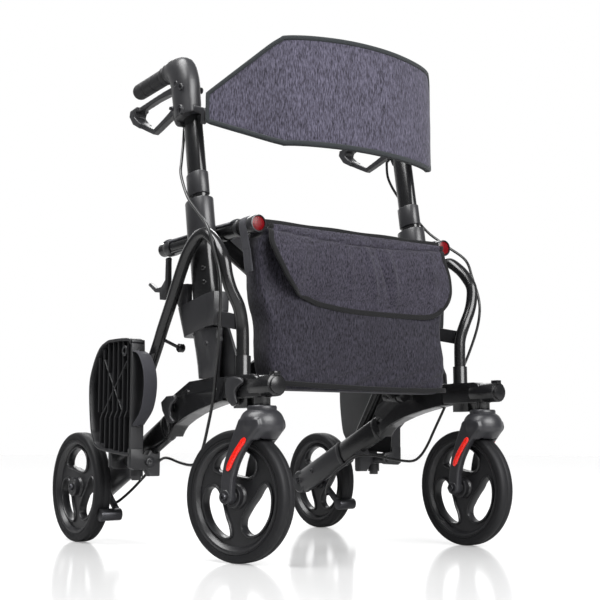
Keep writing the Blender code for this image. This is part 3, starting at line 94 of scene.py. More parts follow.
# The sweep stands where the photograph looks, along AHEAD. Behind the camera the studio is dark,
# so the gloss pieces are dark in front and white along their outlines.
AHEAD = Vector((-math.sin(PHOTO_YAW), math.cos(PHOTO_YAW), 0))
world = bpy.data.worlds.new("studio_room")
bpy.context.scene.world = world
world.use_nodes = True
tree = world.node_tree
tree.nodes.clear()
path = add(tree, "LightPath")
seen = add(tree, "Math", {0: path.outputs["Is Camera Ray"], 1: path.outputs["Is Transmission Ray"]},
           operation="MAXIMUM")
way = add(tree, "VectorMath", {0: add(tree, "TexCoord").outputs["Generated"], 1: AHEAD},
          operation="DOT_PRODUCT")
sweep = add(tree, "MapRange", {"Value": way.outputs["Value"], "From Min": 0.42, "From Max": 0.88,
                               "To Min": 0.03, "To Max": 1.0}, interpolation_type="SMOOTHSTEP")
white_share = add(tree, "Math", {0: seen.outputs[0], 1: sweep.outputs[0]}, operation="MAXIMUM")
room = add(tree, "Background", {"Color": hex_colour("#c9cbd0"), "Strength": 0.16})
paper_white = add(tree, "Background", {"Color": (1, 1, 1, 1), "Strength": 1.0})
mixed = add(tree, "MixShader", {0: white_share.outputs[0], 1: room.outputs[0], 2: paper_white.outputs[0]})
add(tree, "OutputWorld", {"Surface": mixed.outputs[0]})

paper = bpy.data.materials.new("white_paper_sweep")
paper.use_nodes = True
tree = paper.node_tree
tree.nodes.clear()
path = add(tree, "LightPath")
glaze = add(tree, "BsdfPrincipled", {"Base Color": hex_colour("#b8b8b8"), "Roughness": 0.12, "IOR": 1.30})
glow = add(tree, "Emission", {"Color": (1, 1, 1, 1), "Strength": 0.25})
both = add(tree, "AddShader", {0: glaze.outputs[0], 1: glow.outputs[0]})
mixed = add(tree, "MixShader", {0: path.outputs["Is Camera Ray"], 1: glaze.outputs[0], 2: both.outputs[0]})
add(tree, "OutputMaterial", {"Surface": mixed.outputs[0]})

floor_mesh = bpy.data.meshes.new("paper_floor")
floor_mesh.from_pydata([(-9, -9, 0), (9, -9, 0), (9, 14, 0), (-9, 14, 0)], [], [(0, 1, 2, 3)])
floor = bpy.data.objects.new("paper_floor", floor_mesh)
floor_mesh.materials.append(paper)
bpy.context.scene.collection.objects.link(floor)

# Position, aim, width, height and power of each soft box.
for name, place, aim, wide, high, watts in (
        ("box_key", (0.10, -3.1, 1.95), (0.0, 0.0, 0.95), 2.6, 2.4, 210),
        ("box_top", (-1.3, 0.1, 3.0), (0.0, 0.0, 0.30), 2.0, 2.0, 140),
        ("box_back", (1.4, 2.6, 2.3), (0.0, 0.0, 0.50), 2.0, 1.2, 40)):
    lamp = bpy.data.lights.new(name, "AREA")
    lamp.shape, lamp.size, lamp.size_y, lamp.energy = "RECTANGLE", wide, high, watts
    obj = bpy.data.objects.new(name, lamp)
    obj.location = place
    obj.rotation_euler = (Vector(aim) - Vector(place)).to_track_quat("-Z", "Y").to_euler()
    bpy.context.scene.collection.objects.link(obj)

# The photograph's view, solved from the four wheels on the floor; its focal length is in pixels.
level = math.cos(PHOTO_PITCH)
ahead = Vector((-math.sin(PHOTO_YAW) * level, math.cos(PHOTO_YAW) * level, math.sin(PHOTO_PITCH)))
across = Vector((math.cos(PHOTO_YAW), math.sin(PHOTO_YAW), 0))
upward = across.cross(ahead)
lens = bpy.data.cameras.new("photo_camera")
lens.sensor_width = FILM_WIDTH
lens.lens = FOCAL_LENGTH / PHOTO_WIDTH * FILM_WIDTH
camera = bpy.data.objects.new("photo_camera", lens)
turned = Matrix((across, upward, -ahead)).transposed().to_4x4() @ Matrix.Rotation(PHOTO_ROLL, 4, "Z")
camera.matrix_world = Matrix.Translation(at(-1.166, -1.925, 0.182)) @ turned
bpy.context.scene.collection.objects.link(camera)
bpy.context.scene.camera = camera
bpy.context.scene.view_settings.view_transform = "Standard"


# Side beams, front blocks and braces: aluminium forgings and extrusions, gloss black.
# The beam bolts the raked leg to the block that carries the caster; the braces cross
# under the seat on one bolt.
LEFT, RIGHT = 1.0, -1.0
SIDES = {"right": RIGHT, "left": LEFT}


def new_material(name, colour, roughness, metallic=0.0, ior=1.5):
    """A Principled material and its tree, its shader and the object's own coordinates."""
    made = bpy.data.materials.new(name)
    made.use_nodes = True
    tree = made.node_tree
    shader = tree.nodes["Principled BSDF"]
    for socket, value in (("Base Color", hex_colour(colour)), ("Roughness", roughness),
                          ("Metallic", metallic), ("IOR", ior)):
        shader.inputs[socket].default_value = value
    return made, tree, shader, add(tree, "TexCoord").outputs["Object"]


def grained(name, colour, grain, relief, patches, gloss, patch_roughness=0.5):
    """A smooth skin with a fine grain in relief and large patches of more and less gloss.

    grain and patches are (scale, detail), relief is (strength, height), gloss the roughness from
    its shiniest to its dullest patch.
    """
    made, tree, shader, place = new_material(name, colour, sum(gloss) / 2)
    fine = add(tree, "TexNoise", {"Vector": place, "Scale": grain[0], "Detail": grain[1]})
    bump = add(tree, "Bump", {"Height": fine.outputs["Fac"], "Strength": relief[0], "Distance": relief[1]})
    broad = add(tree, "TexNoise", {"Vector": place, "Scale": patches[0], "Detail": patches[1],
                                   "Roughness": patch_roughness})
    dull = add(tree, "MapRange", {"Value": broad.outputs["Fac"], "To Min": gloss[0], "To Max": gloss[1]})
    tree.links.new(bump.outputs[0], shader.inputs["Normal"])
    tree.links.new(dull.outputs[0], shader.inputs["Roughness"])
    return made


# Polyester powder baked on aluminium: a hard gloss skin with a 1 mm orange peel and hazy hand marks.
powder_coat = grained("gloss_black_powder_coat", "#171718", (700.0, 1.0), (0.03, 0.0004), (22.0, 4.0),
                      (0.15, 0.30))
# Glass-filled nylon out of a spark-eroded mould: an even satin grain of about 0.6 mm.
satin_nylon = grained("satin_grey_nylon", "#2a2a2c", (1500.0, 2.0), (0.12, 0.0003), (30.0, 3.0),
                      (0.28, 0.42))

# Black zinc plate on steel bolts: dark metal with a soft sheen, in fine patches brighter and duller.
black_zinc, tree, shader, place = new_material("black_zinc_steel", "#47474a", 0.34, metallic=1.0)
wear = add(tree, "TexNoise", {"Vector": place, "Scale": 400.0, "Detail": 3.0})
wear = add(tree, "MapRange", {"Value": wear.outputs["Fac"], "To Min": 0.26, "To Max": 0.46})
tree.links.new(wear.outputs[0], shader.inputs["Roughness"])


def smooth_edges(obj, degrees=35):
    """Smooth shading that stops at edges sharper than this."""
    obj.data.shade_smooth()
    obj.data.set_sharp_from_angle(angle=math.radians(degrees))
    return obj


def settled(obj, name=None):
    """The object with its modifiers applied to its mesh."""
    bpy.context.view_layer.update()
    graph = bpy.context.evaluated_depsgraph_get()
    mesh = bpy.data.meshes.new_from_object(obj.evaluated_get(graph))
    made = bpy.data.objects.new(name or obj.name, mesh)
    made.matrix_world = obj.matrix_world
    bpy.data.objects.remove(obj, do_unlink=True)
    bpy.context.scene.collection.objects.link(made)
    return made


def dress(piece, material, body, *nodes):
    """Gives a piece its material, lets it ride on its body and stand for its CAD nodes."""
    piece.data.materials.clear()
    piece.data.materials.append(material)
    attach(piece, body)
    if nodes:
        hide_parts(*nodes)
    return piece


def eased(node, material, body, edge=0.0005):
    """The node's own solid with its edges broken by a fine radius, as a tumbled forging has them."""
    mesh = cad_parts[node].data.copy()
    bm = bmesh.new()
    bm.from_mesh(mesh)
    bmesh.ops.remove_doubles(bm, verts=bm.verts, dist=0.00001)
    bmesh.ops.dissolve_limit(bm, angle_limit=math.radians(0.6), verts=bm.verts, edges=bm.edges)
    bm.to_mesh(mesh)
    bm.free()
    obj = bpy.data.objects.new(f"{node}_eased", mesh)
    bpy.context.scene.collection.objects.link(obj)
    bevel = obj.modifiers.new("broken_edges", "BEVEL")
    bevel.width, bevel.segments, bevel.limit_method = edge, 2, "ANGLE"
    bevel.angle_limit = math.radians(32)
    bevel.use_clamp_overlap = True
    obj = smooth_edges(settled(obj, f"{node}_eased"), 38)
    return dress(obj, material, body, node)


for label in SIDES:
    for node in ("side_beam", "front_block"):
        eased(f"{node}_{label}", powder_coat, f"{label}_frame")
    for node in ("front_clip", "rear_clip", "lower_post"):
        eased(f"{node}_{label}", satin_nylon, f"{label}_frame", 0.0008)
eased("cross_brace_a", powder_coat, "brace_a")
eased("cross_brace_b", powder_coat, "brace_b")
for label in SIDES:
    eased(f"rear_axle_{label}", black_zinc, f"{label}_frame")
    eased(f"front_axle_{label}", black_zinc, f"caster_{label}")
    eased(f"brake_arm_{label}", black_zinc, f"brake_{label}")


# Rear legs, frame loops and posts: drawn aluminium tube, bent cold and powder coated.
# The leg is an oval tube in a moulded sleeve; the loop is 20 mm round tube that arches
# over the post; the post is an oval tube inside a larger one.


def mesh_piece(name, verts, faces):
    """An object in the scene from its points and faces."""
    mesh = bpy.data.meshes.new(name)
    mesh.from_pydata([tuple(v) for v in verts], [], faces)
    obj = bpy.data.objects.new(name, mesh)
    bpy.context.scene.collection.objects.link(obj)
    return obj


def skin(rings, closed=False):
    """A skin through rings of equal count, capped unless it closes on itself."""
    count, verts, faces = len(rings[0]), [p for ring in rings for p in ring], []
    last = len(rings) if closed else len(rings) - 1
    for r in range(last):
        for i in range(count):
            j, low, high = (i + 1) % count, r * count, (r + 1) % len(rings) * count
            faces.append((low + i, low + j, high + j, high + i))
    if not closed:
        faces += [tuple(range(count))[::-1], tuple(range(len(verts) - count, len(verts)))]
    return mesh_piece("skin", verts, faces)


def ellipse(centre, u, v, a, b, count=40, power=2.0):
    """A ring of points; a power over 2 squares it up."""
    centre, u, v, found = Vector(centre), Vector(u).normalized(), Vector(v).normalized(), []
    for i in range(count):
        c, s = math.cos(2 * math.pi * i / count), math.sin(2 * math.pi * i / count)
        found.append(centre + u * math.copysign(abs(c) ** (2 / power), c) * a
                     + v * math.copysign(abs(s) ** (2 / power), s) * b)
    return found


def flowing(points, steps, closed=False):
    """A smooth curve through the given points."""
    points, found = [Vector(p) for p in points], []
    count = len(points)
    for i in range(count if closed else count - 1):
        if closed:
            a, b, c, d = (points[(i + k - 1) % count] for k in range(4))
        else:
            b, c = points[i], points[i + 1]
            a = points[i - 1] if i else b + (b - c)
            d = points[i + 2] if i + 2 < count else c + (c - b)
        for k in range(steps):
            t = k / steps
            found.append(0.5 * (2 * b + (c - a) * t + (2 * a - 5 * b + 4 * c - d) * t * t
                                + (3 * b - a - 3 * c + d) * t ** 3))
    return found if closed else found + [points[-1]]


def heading(points, i, closed=False):
    """The direction of a line of points at point i, from its two neighbours."""
    if closed:
        return (points[(i + 1) % len(points)] - points[i - 1]).normalized()
    return (points[min(i + 1, len(points) - 1)] - points[max(i - 1, 0)]).normalized()


def pipe(points, radius, sides=20):
    """A round tube along points, with flat ends."""
    rings, across = [], None
    for i, p in enumerate(points):
        ahead = heading(points, i)
        across = ahead.orthogonal() if across is None else across - ahead * across.dot(ahead)
        across.normalize()
        rings.append(ellipse(p, across, ahead.cross(across), radius, radius, sides))
    return skin(rings)


def bar(stations, across, width, depth, power=2.4, count=44):
    """An oval tube through (place, swell) stations on one straight axis."""
    axis = (stations[-1][0] - stations[0][0]).normalized()
    across = Vector(across)
    return skin([ellipse(p, across, axis.cross(across), width / 2 + swell, depth / 2 + swell, count, power)
                 for p, swell in stations])


def rounded_bar(start, end, across, width, depth, edge=0.0012, power=2.4):
    """An oval tube with a rounded lip at each end."""
    axis = (end - start).normalized()
    return bar([(start, -edge), (start + axis * edge * 0.3, -edge * 0.3), (start + axis * edge, 0.0),
                (end - axis * edge, 0.0), (end - axis * edge * 0.3, -edge * 0.3), (end, -edge)],
               across, width, depth, power)


def turned_piece(profile, origin, axis, steps=48, closed=False):
    """A profile of (radius, height) turned about an axis; its ends are closed on the axis."""
    axis = Vector(axis).normalized()
    u = axis.orthogonal().normalized()
    v = axis.cross(u)
    rings = [ellipse(Vector(origin) + axis * h, u, v, max(r, 0.00002), max(r, 0.00002), steps)
             for r, h in profile]
    return skin(rings, closed)


def gather(name, pieces, side=LEFT, matrix=None):
    """One piece from several, mirrored for the right side, its faces turned to look out."""
    bm = bmesh.new()
    for piece in pieces:
        piece.data.transform(piece.matrix_world)
        bm.from_mesh(piece.data)
        bpy.data.objects.remove(piece, do_unlink=True)
    bmesh.ops.recalc_face_normals(bm, faces=bm.faces)
    mesh = bpy.data.meshes.new(name)
    bm.to_mesh(mesh)
    bm.free()
    mesh.transform((matrix or Matrix()) @ Matrix.Diagonal((side, 1, 1, 1)))
    if side < 0:
        mesh.flip_normals()
    obj = bpy.data.objects.new(name, mesh)
    bpy.context.scene.collection.objects.link(obj)
    return obj


def bolt_head(centre, axis, radius=0.0050, rise=0.0026):
    """A button-head screw with a round dip for its socket."""
    return turned_piece([(0, rise * 0.35), (radius * 0.42, rise * 0.35), (radius * 0.45, rise),
                         (radius * 0.72, rise * 0.94), (radius * 0.93, rise * 0.6), (radius, 0),
                         (radius, -0.0006), (0, -0.0006)], centre, axis, 24)


BEAM_X = 0.2325
ACROSS = Vector((1, 0, 0))
LEG_ACROSS, LEG_DEPTH, LEG_FALL, LEG_END_Z = 0.024, 0.045, 0.44, 0.096
SLEEVE_WALL, SLEEVE_START, SLEEVE_END = 0.002, -0.140, -0.004
SOCKET_X, SOCKET_Y, SOCKET_Z = 0.265, -0.195, 0.1225
LOOP_RADIUS, LOOP_X, LOOP_BOLT = 0.010, 0.262, (-0.122, 0.150)
LOOP_LINE = [(0.2325, -0.4810, 0.2900), (0.2325, -0.4810, 0.3400), (0.2345, -0.4815, 0.3650),
             (0.2427, -0.4848, 0.3906), (0.2560, -0.4840, 0.4150), (0.2635, -0.4830, 0.4375),
             (0.2665, -0.4800, 0.4614), (0.2665, -0.4640, 0.4840), (0.2665, -0.4450, 0.5010),
             (0.2665, -0.4220, 0.5136), (0.2665, -0.3966, 0.5099), (0.2665, -0.3712, 0.4929),
             (0.2665, -0.3510, 0.4690), (0.2650, -0.3110, 0.4128), (0.2635, -0.2800, 0.3720),
             (0.2620, -0.2550, 0.3370), (0.2620, -0.2000, 0.2589), (0.2620, -0.1180, 0.1440)]


def leg_place(y):
    """The middle of the raked leg, y metres ahead of the rear axle where y is negative."""
    return at(BEAM_X, y, LEG_END_Z - LEG_FALL * y)


def leg_bar(start, end, swell, edge):
    """A stretch of the leg's oval, larger all round by half the swell."""
    return rounded_bar(leg_place(start), leg_place(end), ACROSS, LEG_ACROSS + swell, LEG_DEPTH + swell,
                       edge)


for label, side in SIDES.items():
    tube = leg_bar(-0.2615, -0.120, 0.0, 0.0012)
    bead = leg_bar(-0.2530, -0.2450, 0.0016, 0.0006)
    dress(smooth_edges(gather(f"leg_tube_{label}", [tube, bead], side)), powder_coat, f"{label}_frame")
    sleeve = leg_bar(SLEEVE_START, SLEEVE_END, 2 * SLEEVE_WALL, 0.0018)
    lip = leg_bar(SLEEVE_START, SLEEVE_START + 0.0070, 2 * SLEEVE_WALL + 0.0018, 0.0008)
    half = LEG_ACROSS / 2 + SLEEVE_WALL
    end = turned_piece([(0, -half + 0.0015), (0.0200, -half + 0.0015), (0.0230, -half + 0.0045),
                        (0.0230, half - 0.0045), (0.0200, half - 0.0015), (0, half - 0.0015)],
                       at(BEAM_X, 0, 0.0975), ACROSS)
    boss = turned_piece([(0, 0), (0.0120, 0), (0.0120, 0.0245), (0.0108, 0.0262), (0, 0.0262)],
                        at(BEAM_X, 0, 0.1), ACROSS)
    screws = [bolt_head(at(BEAM_X + half, -0.0490, 0.1210), ACROSS),
              bolt_head(at(BEAM_X - half, -0.0490, 0.1210), -ACROSS),
              bolt_head(at(BEAM_X - half, -0.0060, 0.0990), -ACROSS)]
    ring = turned_piece([(0.0091, 0), (0.0106, 0), (0.0112, 0.0006), (0.0112, 0.0129), (0.0106, 0.0135),
                         (0.0091, 0.0135)], at(SOCKET_X, SOCKET_Y, SOCKET_Z), (0, 0, 1), closed=True)
    web = skin([ellipse(at(x, SOCKET_Y, 0.1462), (0, 1, 0), (0, 0, 1), 0.0088, high, 24, 8)
                for x, high in ((0.2242, 0.0236), (0.2420, 0.0236), (0.2500, 0.0120), (0.2560, 0.0072))])
    piece = gather(f"leg_sleeve_{label}", [sleeve, lip, end, boss, ring, web] + screws, side)
    dress(smooth_edges(piece), satin_nylon, f"{label}_frame", f"rear_leg_{label}")

    tube = pipe(flowing([at(*p) for p in LOOP_LINE], 5), LOOP_RADIUS, 28)
    lug = turned_piece([(0, 0), (0.0075, 0), (0.0075, 0.012), (0, 0.012)],
                       at(BEAM_X + half + 0.0003, *LOOP_BOLT), ACROSS, 24)
    bolt = bolt_head(at(LOOP_X + LOOP_RADIUS - 0.0005, *LOOP_BOLT), ACROSS, 0.0052, 0.0028)
    stem = pipe([at(LOOP_X, -0.269, 0.357), at(0.240, -0.297, 0.339)], 0.003, 12)
    knob = turned_piece([(0, -0.006), (0.0055, -0.006), (0.0075, -0.004), (0.0075, 0.004), (0.0055, 0.006),
                         (0, 0.006)], at(0.238, -0.297, 0.339), ACROSS, 28)
    piece = gather(f"loop_tube_{label}", [tube, lug, bolt, stem, knob], side)
    dress(smooth_edges(piece), powder_coat, f"{label}_frame", f"side_loop_{label}")


POST_X, POST_LEAN, POST_PLACE = 0.236, 0.155, (-0.346, 0.610)
OUTER_TUBE, INNER_TUBE = (0.036, 0.056), (0.026, 0.042)
POST_SCREW_SPOT, POST_SCREW_AXIS = Vector((0.0150, -0.0214, 0)), (0.78, -0.63, 0)


def post_place(z):
    """The middle of the leaning post at a height."""
    return at(POST_X, POST_PLACE[0] + POST_LEAN * (z - POST_PLACE[1]), z)


def post_tube(low, high, size, swell=0.0, edge=0.0010):
    """A stretch of post between two heights; size is its width and depth."""
    return rounded_bar(post_place(low), post_place(high), ACROSS, size[0] + 2 * swell, size[1] + 2 * swell,
                       edge, 2.3)


for label, side in SIDES.items():
    tube = post_tube(0.4143, 0.5200, OUTER_TUBE)
    screws = [bolt_head(post_place(z) + POST_SCREW_SPOT, POST_SCREW_AXIS, 0.0040, 0.0020)
              for z in (0.4625, 0.4391)]
    dress(smooth_edges(gather(f"post_tube_{label}", [tube] + screws, side)), powder_coat, f"{label}_frame",
          f"outer_post_{label}")
    bush = post_tube(0.5190, 0.5830, OUTER_TUBE, 0.0018, 0.0022)
    dress(smooth_edges(gather(f"post_bush_{label}", [bush], side)), satin_nylon, f"{label}_frame")
    tube = post_tube(0.4400, 0.7500, INNER_TUBE)
    dress(smooth_edges(gather(f"handle_tube_{label}", [tube], side)), powder_coat, f"handle_{label}",
          f"handle_post_{label}")
    collar = post_tube(0.5910, 0.6300, INNER_TUBE, 0.0025, 0.0014)
    dress(smooth_edges(gather(f"stop_collar_{label}", [collar], side)), satin_nylon, f"handle_{label}")


# Wheels: 8 inch, injection-moulded nylon centres with three swept spokes between raised
# lips, and a soft grey-black tyre stretched over the rim.
WHEEL_R, RIM_R, RIM_HALF = 0.100, 0.084, 0.0125
SPOKES, SPOKE_TURN = 3, -65
REAR_TRACK, STEM_Y, TRAIL = 0.278, -0.5347, 0.045
CASTER_TURN = {"right": 15.7, "left": 1.6}
# One opening between spokes, as shares of the wheel's radius and degrees round from the spoke.
OPENING = ((0.50, -10), (0.63, 0), (0.69, 18), (0.70, 42), (0.68, 66), (0.62, 82),
           (0.49, 78), (0.385, 62), (0.31, 38), (0.315, 12), (0.38, -6))

# Thermoplastic rubber: near black, dull, with the fine matt grain of the tyre mould.
tyre_rubber = grained("matt_tyre_rubber", "#161618", (1100.0, 3.0), (0.18, 0.0004), (45.0, 5.0),
                      (0.48, 0.72), patch_roughness=0.65)
tyre_rubber.node_tree.nodes["Principled BSDF"].inputs["Specular IOR Level"].default_value = 0.28
# Glossier nylon of the wheel centre: dark, with the soft flow marks of its moulding.
wheel_nylon = grained("moulded_black_wheel_nylon", "#202022", (1700.0, 1.0), (0.08, 0.0003), (60.0, 4.0),
                      (0.26, 0.44))


def opening(turn):
    """One opening's rim, in the wheel's plane."""
    return flowing([(0, -share * WHEEL_R * math.cos(math.radians(degrees + turn)),
                     share * WHEEL_R * math.sin(math.radians(degrees + turn)))
                    for share, degrees in OPENING], 9, closed=True)


def swept_round(outline, profile):
    """A closed band that follows an outline in the wheel's plane; the profile is (outward, x)."""
    middle = sum(outline, Vector()) / len(outline)
    rings = []
    for i, p in enumerate(outline):
        ahead = heading(outline, i, closed=True)
        out = Vector((0, ahead.z, -ahead.y))
        out = out if out.dot(p - middle) > 0 or rings and out.dot(last) > 0 else -out
        last = out
        rings.append([p + out * o + Vector((x, 0, 0)) for o, x in profile])
    return skin(rings, closed=True)


def pierced_plate(outer, holes, low, high):
    """A flat plate in the wheel's plane with openings through it."""
    loops = [outer] + holes
    flat = [[Vector((p.y, p.z, 0)) for p in loop] for loop in loops]
    points = [p for loop in loops for p in loop]
    triangles = tessellate_polygon(flat)
    count, verts, faces = len(points), [], []
    for x in (low, high):
        verts += [Vector((x, p.y, p.z)) for p in points]
    faces += [tuple(t) for t in triangles] + [tuple(i + count for i in t) for t in triangles]
    start = 0
    for loop in loops:
        n = len(loop)
        faces += [(start + i, start + (i + 1) % n, start + (i + 1) % n + count, start + i + count)
                  for i in range(n)]
        start += n
    return mesh_piece("plate", verts, faces)


def mirrored(half):
    """A profile of (radius, x) points and the same points on the other side of the middle."""
    return half + [(r, -x) for r, x in half[::-1]]


def wheel(label, end, side, matrix, body):
    """A wheel centre of rim ring, pierced web, lips and hub, and the tyre round it."""
    ring = turned_piece(mirrored([(RIM_R, -RIM_HALF), (RIM_R - 0.0030, -RIM_HALF),
                                  (RIM_R - 0.0046, -RIM_HALF + 0.0012), (RIM_R - 0.0060, -0.0080),
                                  (RIM_R - 0.0082, -0.0060), (RIM_R - 0.0090, -0.0035)]),
                        (0, 0, 0), ACROSS, 96, closed=True)
    holes = [opening(360 / SPOKES * i + SPOKE_TURN) for i in range(SPOKES)]
    lip = mirrored([(0.0000, 0.0066), (0.0006, 0.0077), (0.0018, 0.0081), (0.0030, 0.0078), (0.0038, 0.0068),
                    (0.0042, 0.0040)])
    lips = [swept_round(h, lip) for h in holes]
    rim_edge = [Vector((0, (RIM_R - 0.006) * math.cos(a), (RIM_R - 0.006) * math.sin(a)))
                for a in (2 * math.pi * i / 96 for i in range(96))]
    inside = []
    for h in holes:
        middle = sum(h, Vector()) / len(h)
        inside.append([p + (p - middle).normalized() * 0.0012 for p in h])
    web = pierced_plate(rim_edge, inside, -0.0045, 0.0045)
    hub = turned_piece(mirrored([(0, 0.0178), (0.0100, 0.0178), (0.0104, 0.0172), (0.0112, 0.0172),
                                 (0.0120, 0.0180), (0.0160, 0.0180), (0.0170, 0.0170), (0.0170, 0.0092),
                                 (0.0196, 0.0060), (0.0200, 0.0040)]), (0, 0, 0), ACROSS, 48)
    piece = gather(f"{end}_wheel_centre_{label}", [ring, web, hub] + lips, side, matrix)
    dress(smooth_edges(piece, 32), wheel_nylon, body, f"{end}_rim_{label}")
    tread = turned_piece(mirrored([(RIM_R + 0.0003, 0.0123), (0.0858, 0.0138), (0.0872, 0.0140),
                                   (0.0875, 0.0134), (0.0880, 0.0134), (0.0883, 0.0144), (0.0915, 0.0149),
                                   (0.0945, 0.0149), (0.0968, 0.0141), (0.0986, 0.0124), (0.0996, 0.0098),
                                   (0.1000, 0.0066), (0.1000, 0.0012), (0.0996, 0.0006)]),
                         (0, 0, 0), ACROSS, 128, closed=True)
    piece = gather(f"{end}_tyre_band_{label}", [tread], side, matrix)
    dress(smooth_edges(piece, 40), tyre_rubber, body, f"{end}_tyre_{label}")


caster_at = {}
for label, side in SIDES.items():
    turn = Matrix.Rotation(math.radians(CASTER_TURN[label]), 4, "Z")
    caster_at[label] = (Matrix.Translation(at(side * BEAM_X, STEM_Y, WHEEL_R)) @ turn
                        @ Matrix.Translation((0, TRAIL, 0)))
    wheel(label, "front", side, caster_at[label], f"front_wheel_{label}")
    wheel(label, "rear", side, Matrix.Translation(at(side * REAR_TRACK, 0, WHEEL_R)), f"rear_wheel_{label}")


# Casters: a moulded fork that arches over the wheel from a round disc, swivels on a steel
# stem in the front block, and has a stuck-on red reflector on each leg.
# Glass-filled nylon, a shade lighter than the frame: satin, which makes the dome read round.
fork_nylon = grained("satin_charcoal_fork_nylon", "#28282b", (1500.0, 2.0), (0.10, 0.0003), (35.0, 4.0),
                     (0.28, 0.46))


def reflector(name, bright, deep, painted_glow, roughness=0.12, coat=0.8):
    """Prismatic reflector: clear red acrylic over 2 mm cube corners; the light they send back is painted in
    as a red glow in the cells' colour.
    """
    made, tree, shader, place = new_material(name, bright, roughness, ior=1.49)
    turned_place = add(tree, "Mapping", {"Vector": place, "Rotation": (0.6, 0.5, 0.7)})
    cells = add(tree, "TexVoronoi", {"Vector": turned_place.outputs[0], "Scale": 520.0, "Randomness": 0.25})
    edges = add(tree, "ValToRGB", {"Fac": cells.outputs["Distance"]})
    low, high = edges.color_ramp.elements
    low.color, high.color, low.position, high.position = hex_colour(bright), hex_colour(deep), 0.25, 0.75
    bump = add(tree, "Bump", {"Height": cells.outputs["Distance"], "Strength": 0.4, "Distance": 0.0005})
    tree.links.new(edges.outputs[0], shader.inputs["Base Color"])
    tree.links.new(edges.outputs[0], shader.inputs["Emission Color"])
    tree.links.new(bump.outputs[0], shader.inputs["Normal"])
    # Painted light: the lens glows in the cells' colour, standing in for the light that the cube corners send
    # back.
    for socket, value in (("Emission Strength", painted_glow), ("Coat Weight", coat), ("Coat Roughness", 0.04)):
        shader.inputs[socket].default_value = value
    return made


# The fork lenses carry a painted red glow of strength 0.40.
reflector_red = reflector("prismatic_red_reflector", "#ff2410", "#8a0303", 0.40)


def slab(outline, low, high, edge=0.0):
    """A plate in the plane of x between low and high, from (y, z) points, its rims rounded off."""
    points = [Vector((0, *p)) for p in outline]
    inward = []
    for i, p in enumerate(points):
        ahead = heading(points, i, closed=True)
        inward.append(Vector((0, -ahead.z, ahead.y)))
    area = sum(a.y * b.z - b.y * a.z for a, b in zip(points, points[1:] + points[:1]))
    turn = 1 if area > 0 else -1
    rings = [(low, 1.0), (low + edge * 0.3, 0.3), (low + edge, 0.0), (high - edge, 0.0),
             (high - edge * 0.3, 0.3), (high, 1.0)] if edge else [(low, 0.0), (high, 0.0)]
    return skin([[p + n * turn * edge * share + Vector((x, 0, 0)) for p, n in zip(points, inward)]
                 for x, share in rings])


def moulded(name, pieces, voxel=0.0014, passes=6, cutters=()):
    """One skin over several solids, its inside corners filleted like those of a moulding."""
    obj = gather(name, pieces)
    for cutter in cutters:
        knife = obj.modifiers.new("cut", "BOOLEAN")
        knife.object, knife.operation, knife.solver = cutter, "DIFFERENCE", "EXACT"
        knife.use_self = True
    remesh = obj.modifiers.new("skin", "REMESH")
    remesh.mode, remesh.voxel_size = "VOXEL", voxel
    fair = obj.modifiers.new("fillets", "SMOOTH")
    fair.factor, fair.iterations = 0.5, passes
    obj = settled(obj, name)
    for cutter in cutters:
        bpy.data.objects.remove(cutter, do_unlink=True)
    obj.data.shade_smooth()
    return obj


# The lens runs down the middle of each leg, in the wheel's plane.
LENS_LINE = [(0, -0.0412, 0.0868), (0, -0.0300, 0.0742), (0, -0.0168, 0.0572), (0, -0.0062, 0.0385)]
LENS_HALF_WIDTH, LENS_FROM, LENS_TO = 0.0044, 0.0332, 0.0357
FORK_FOOT, FORK_LEG = 0.0116, 0.0135


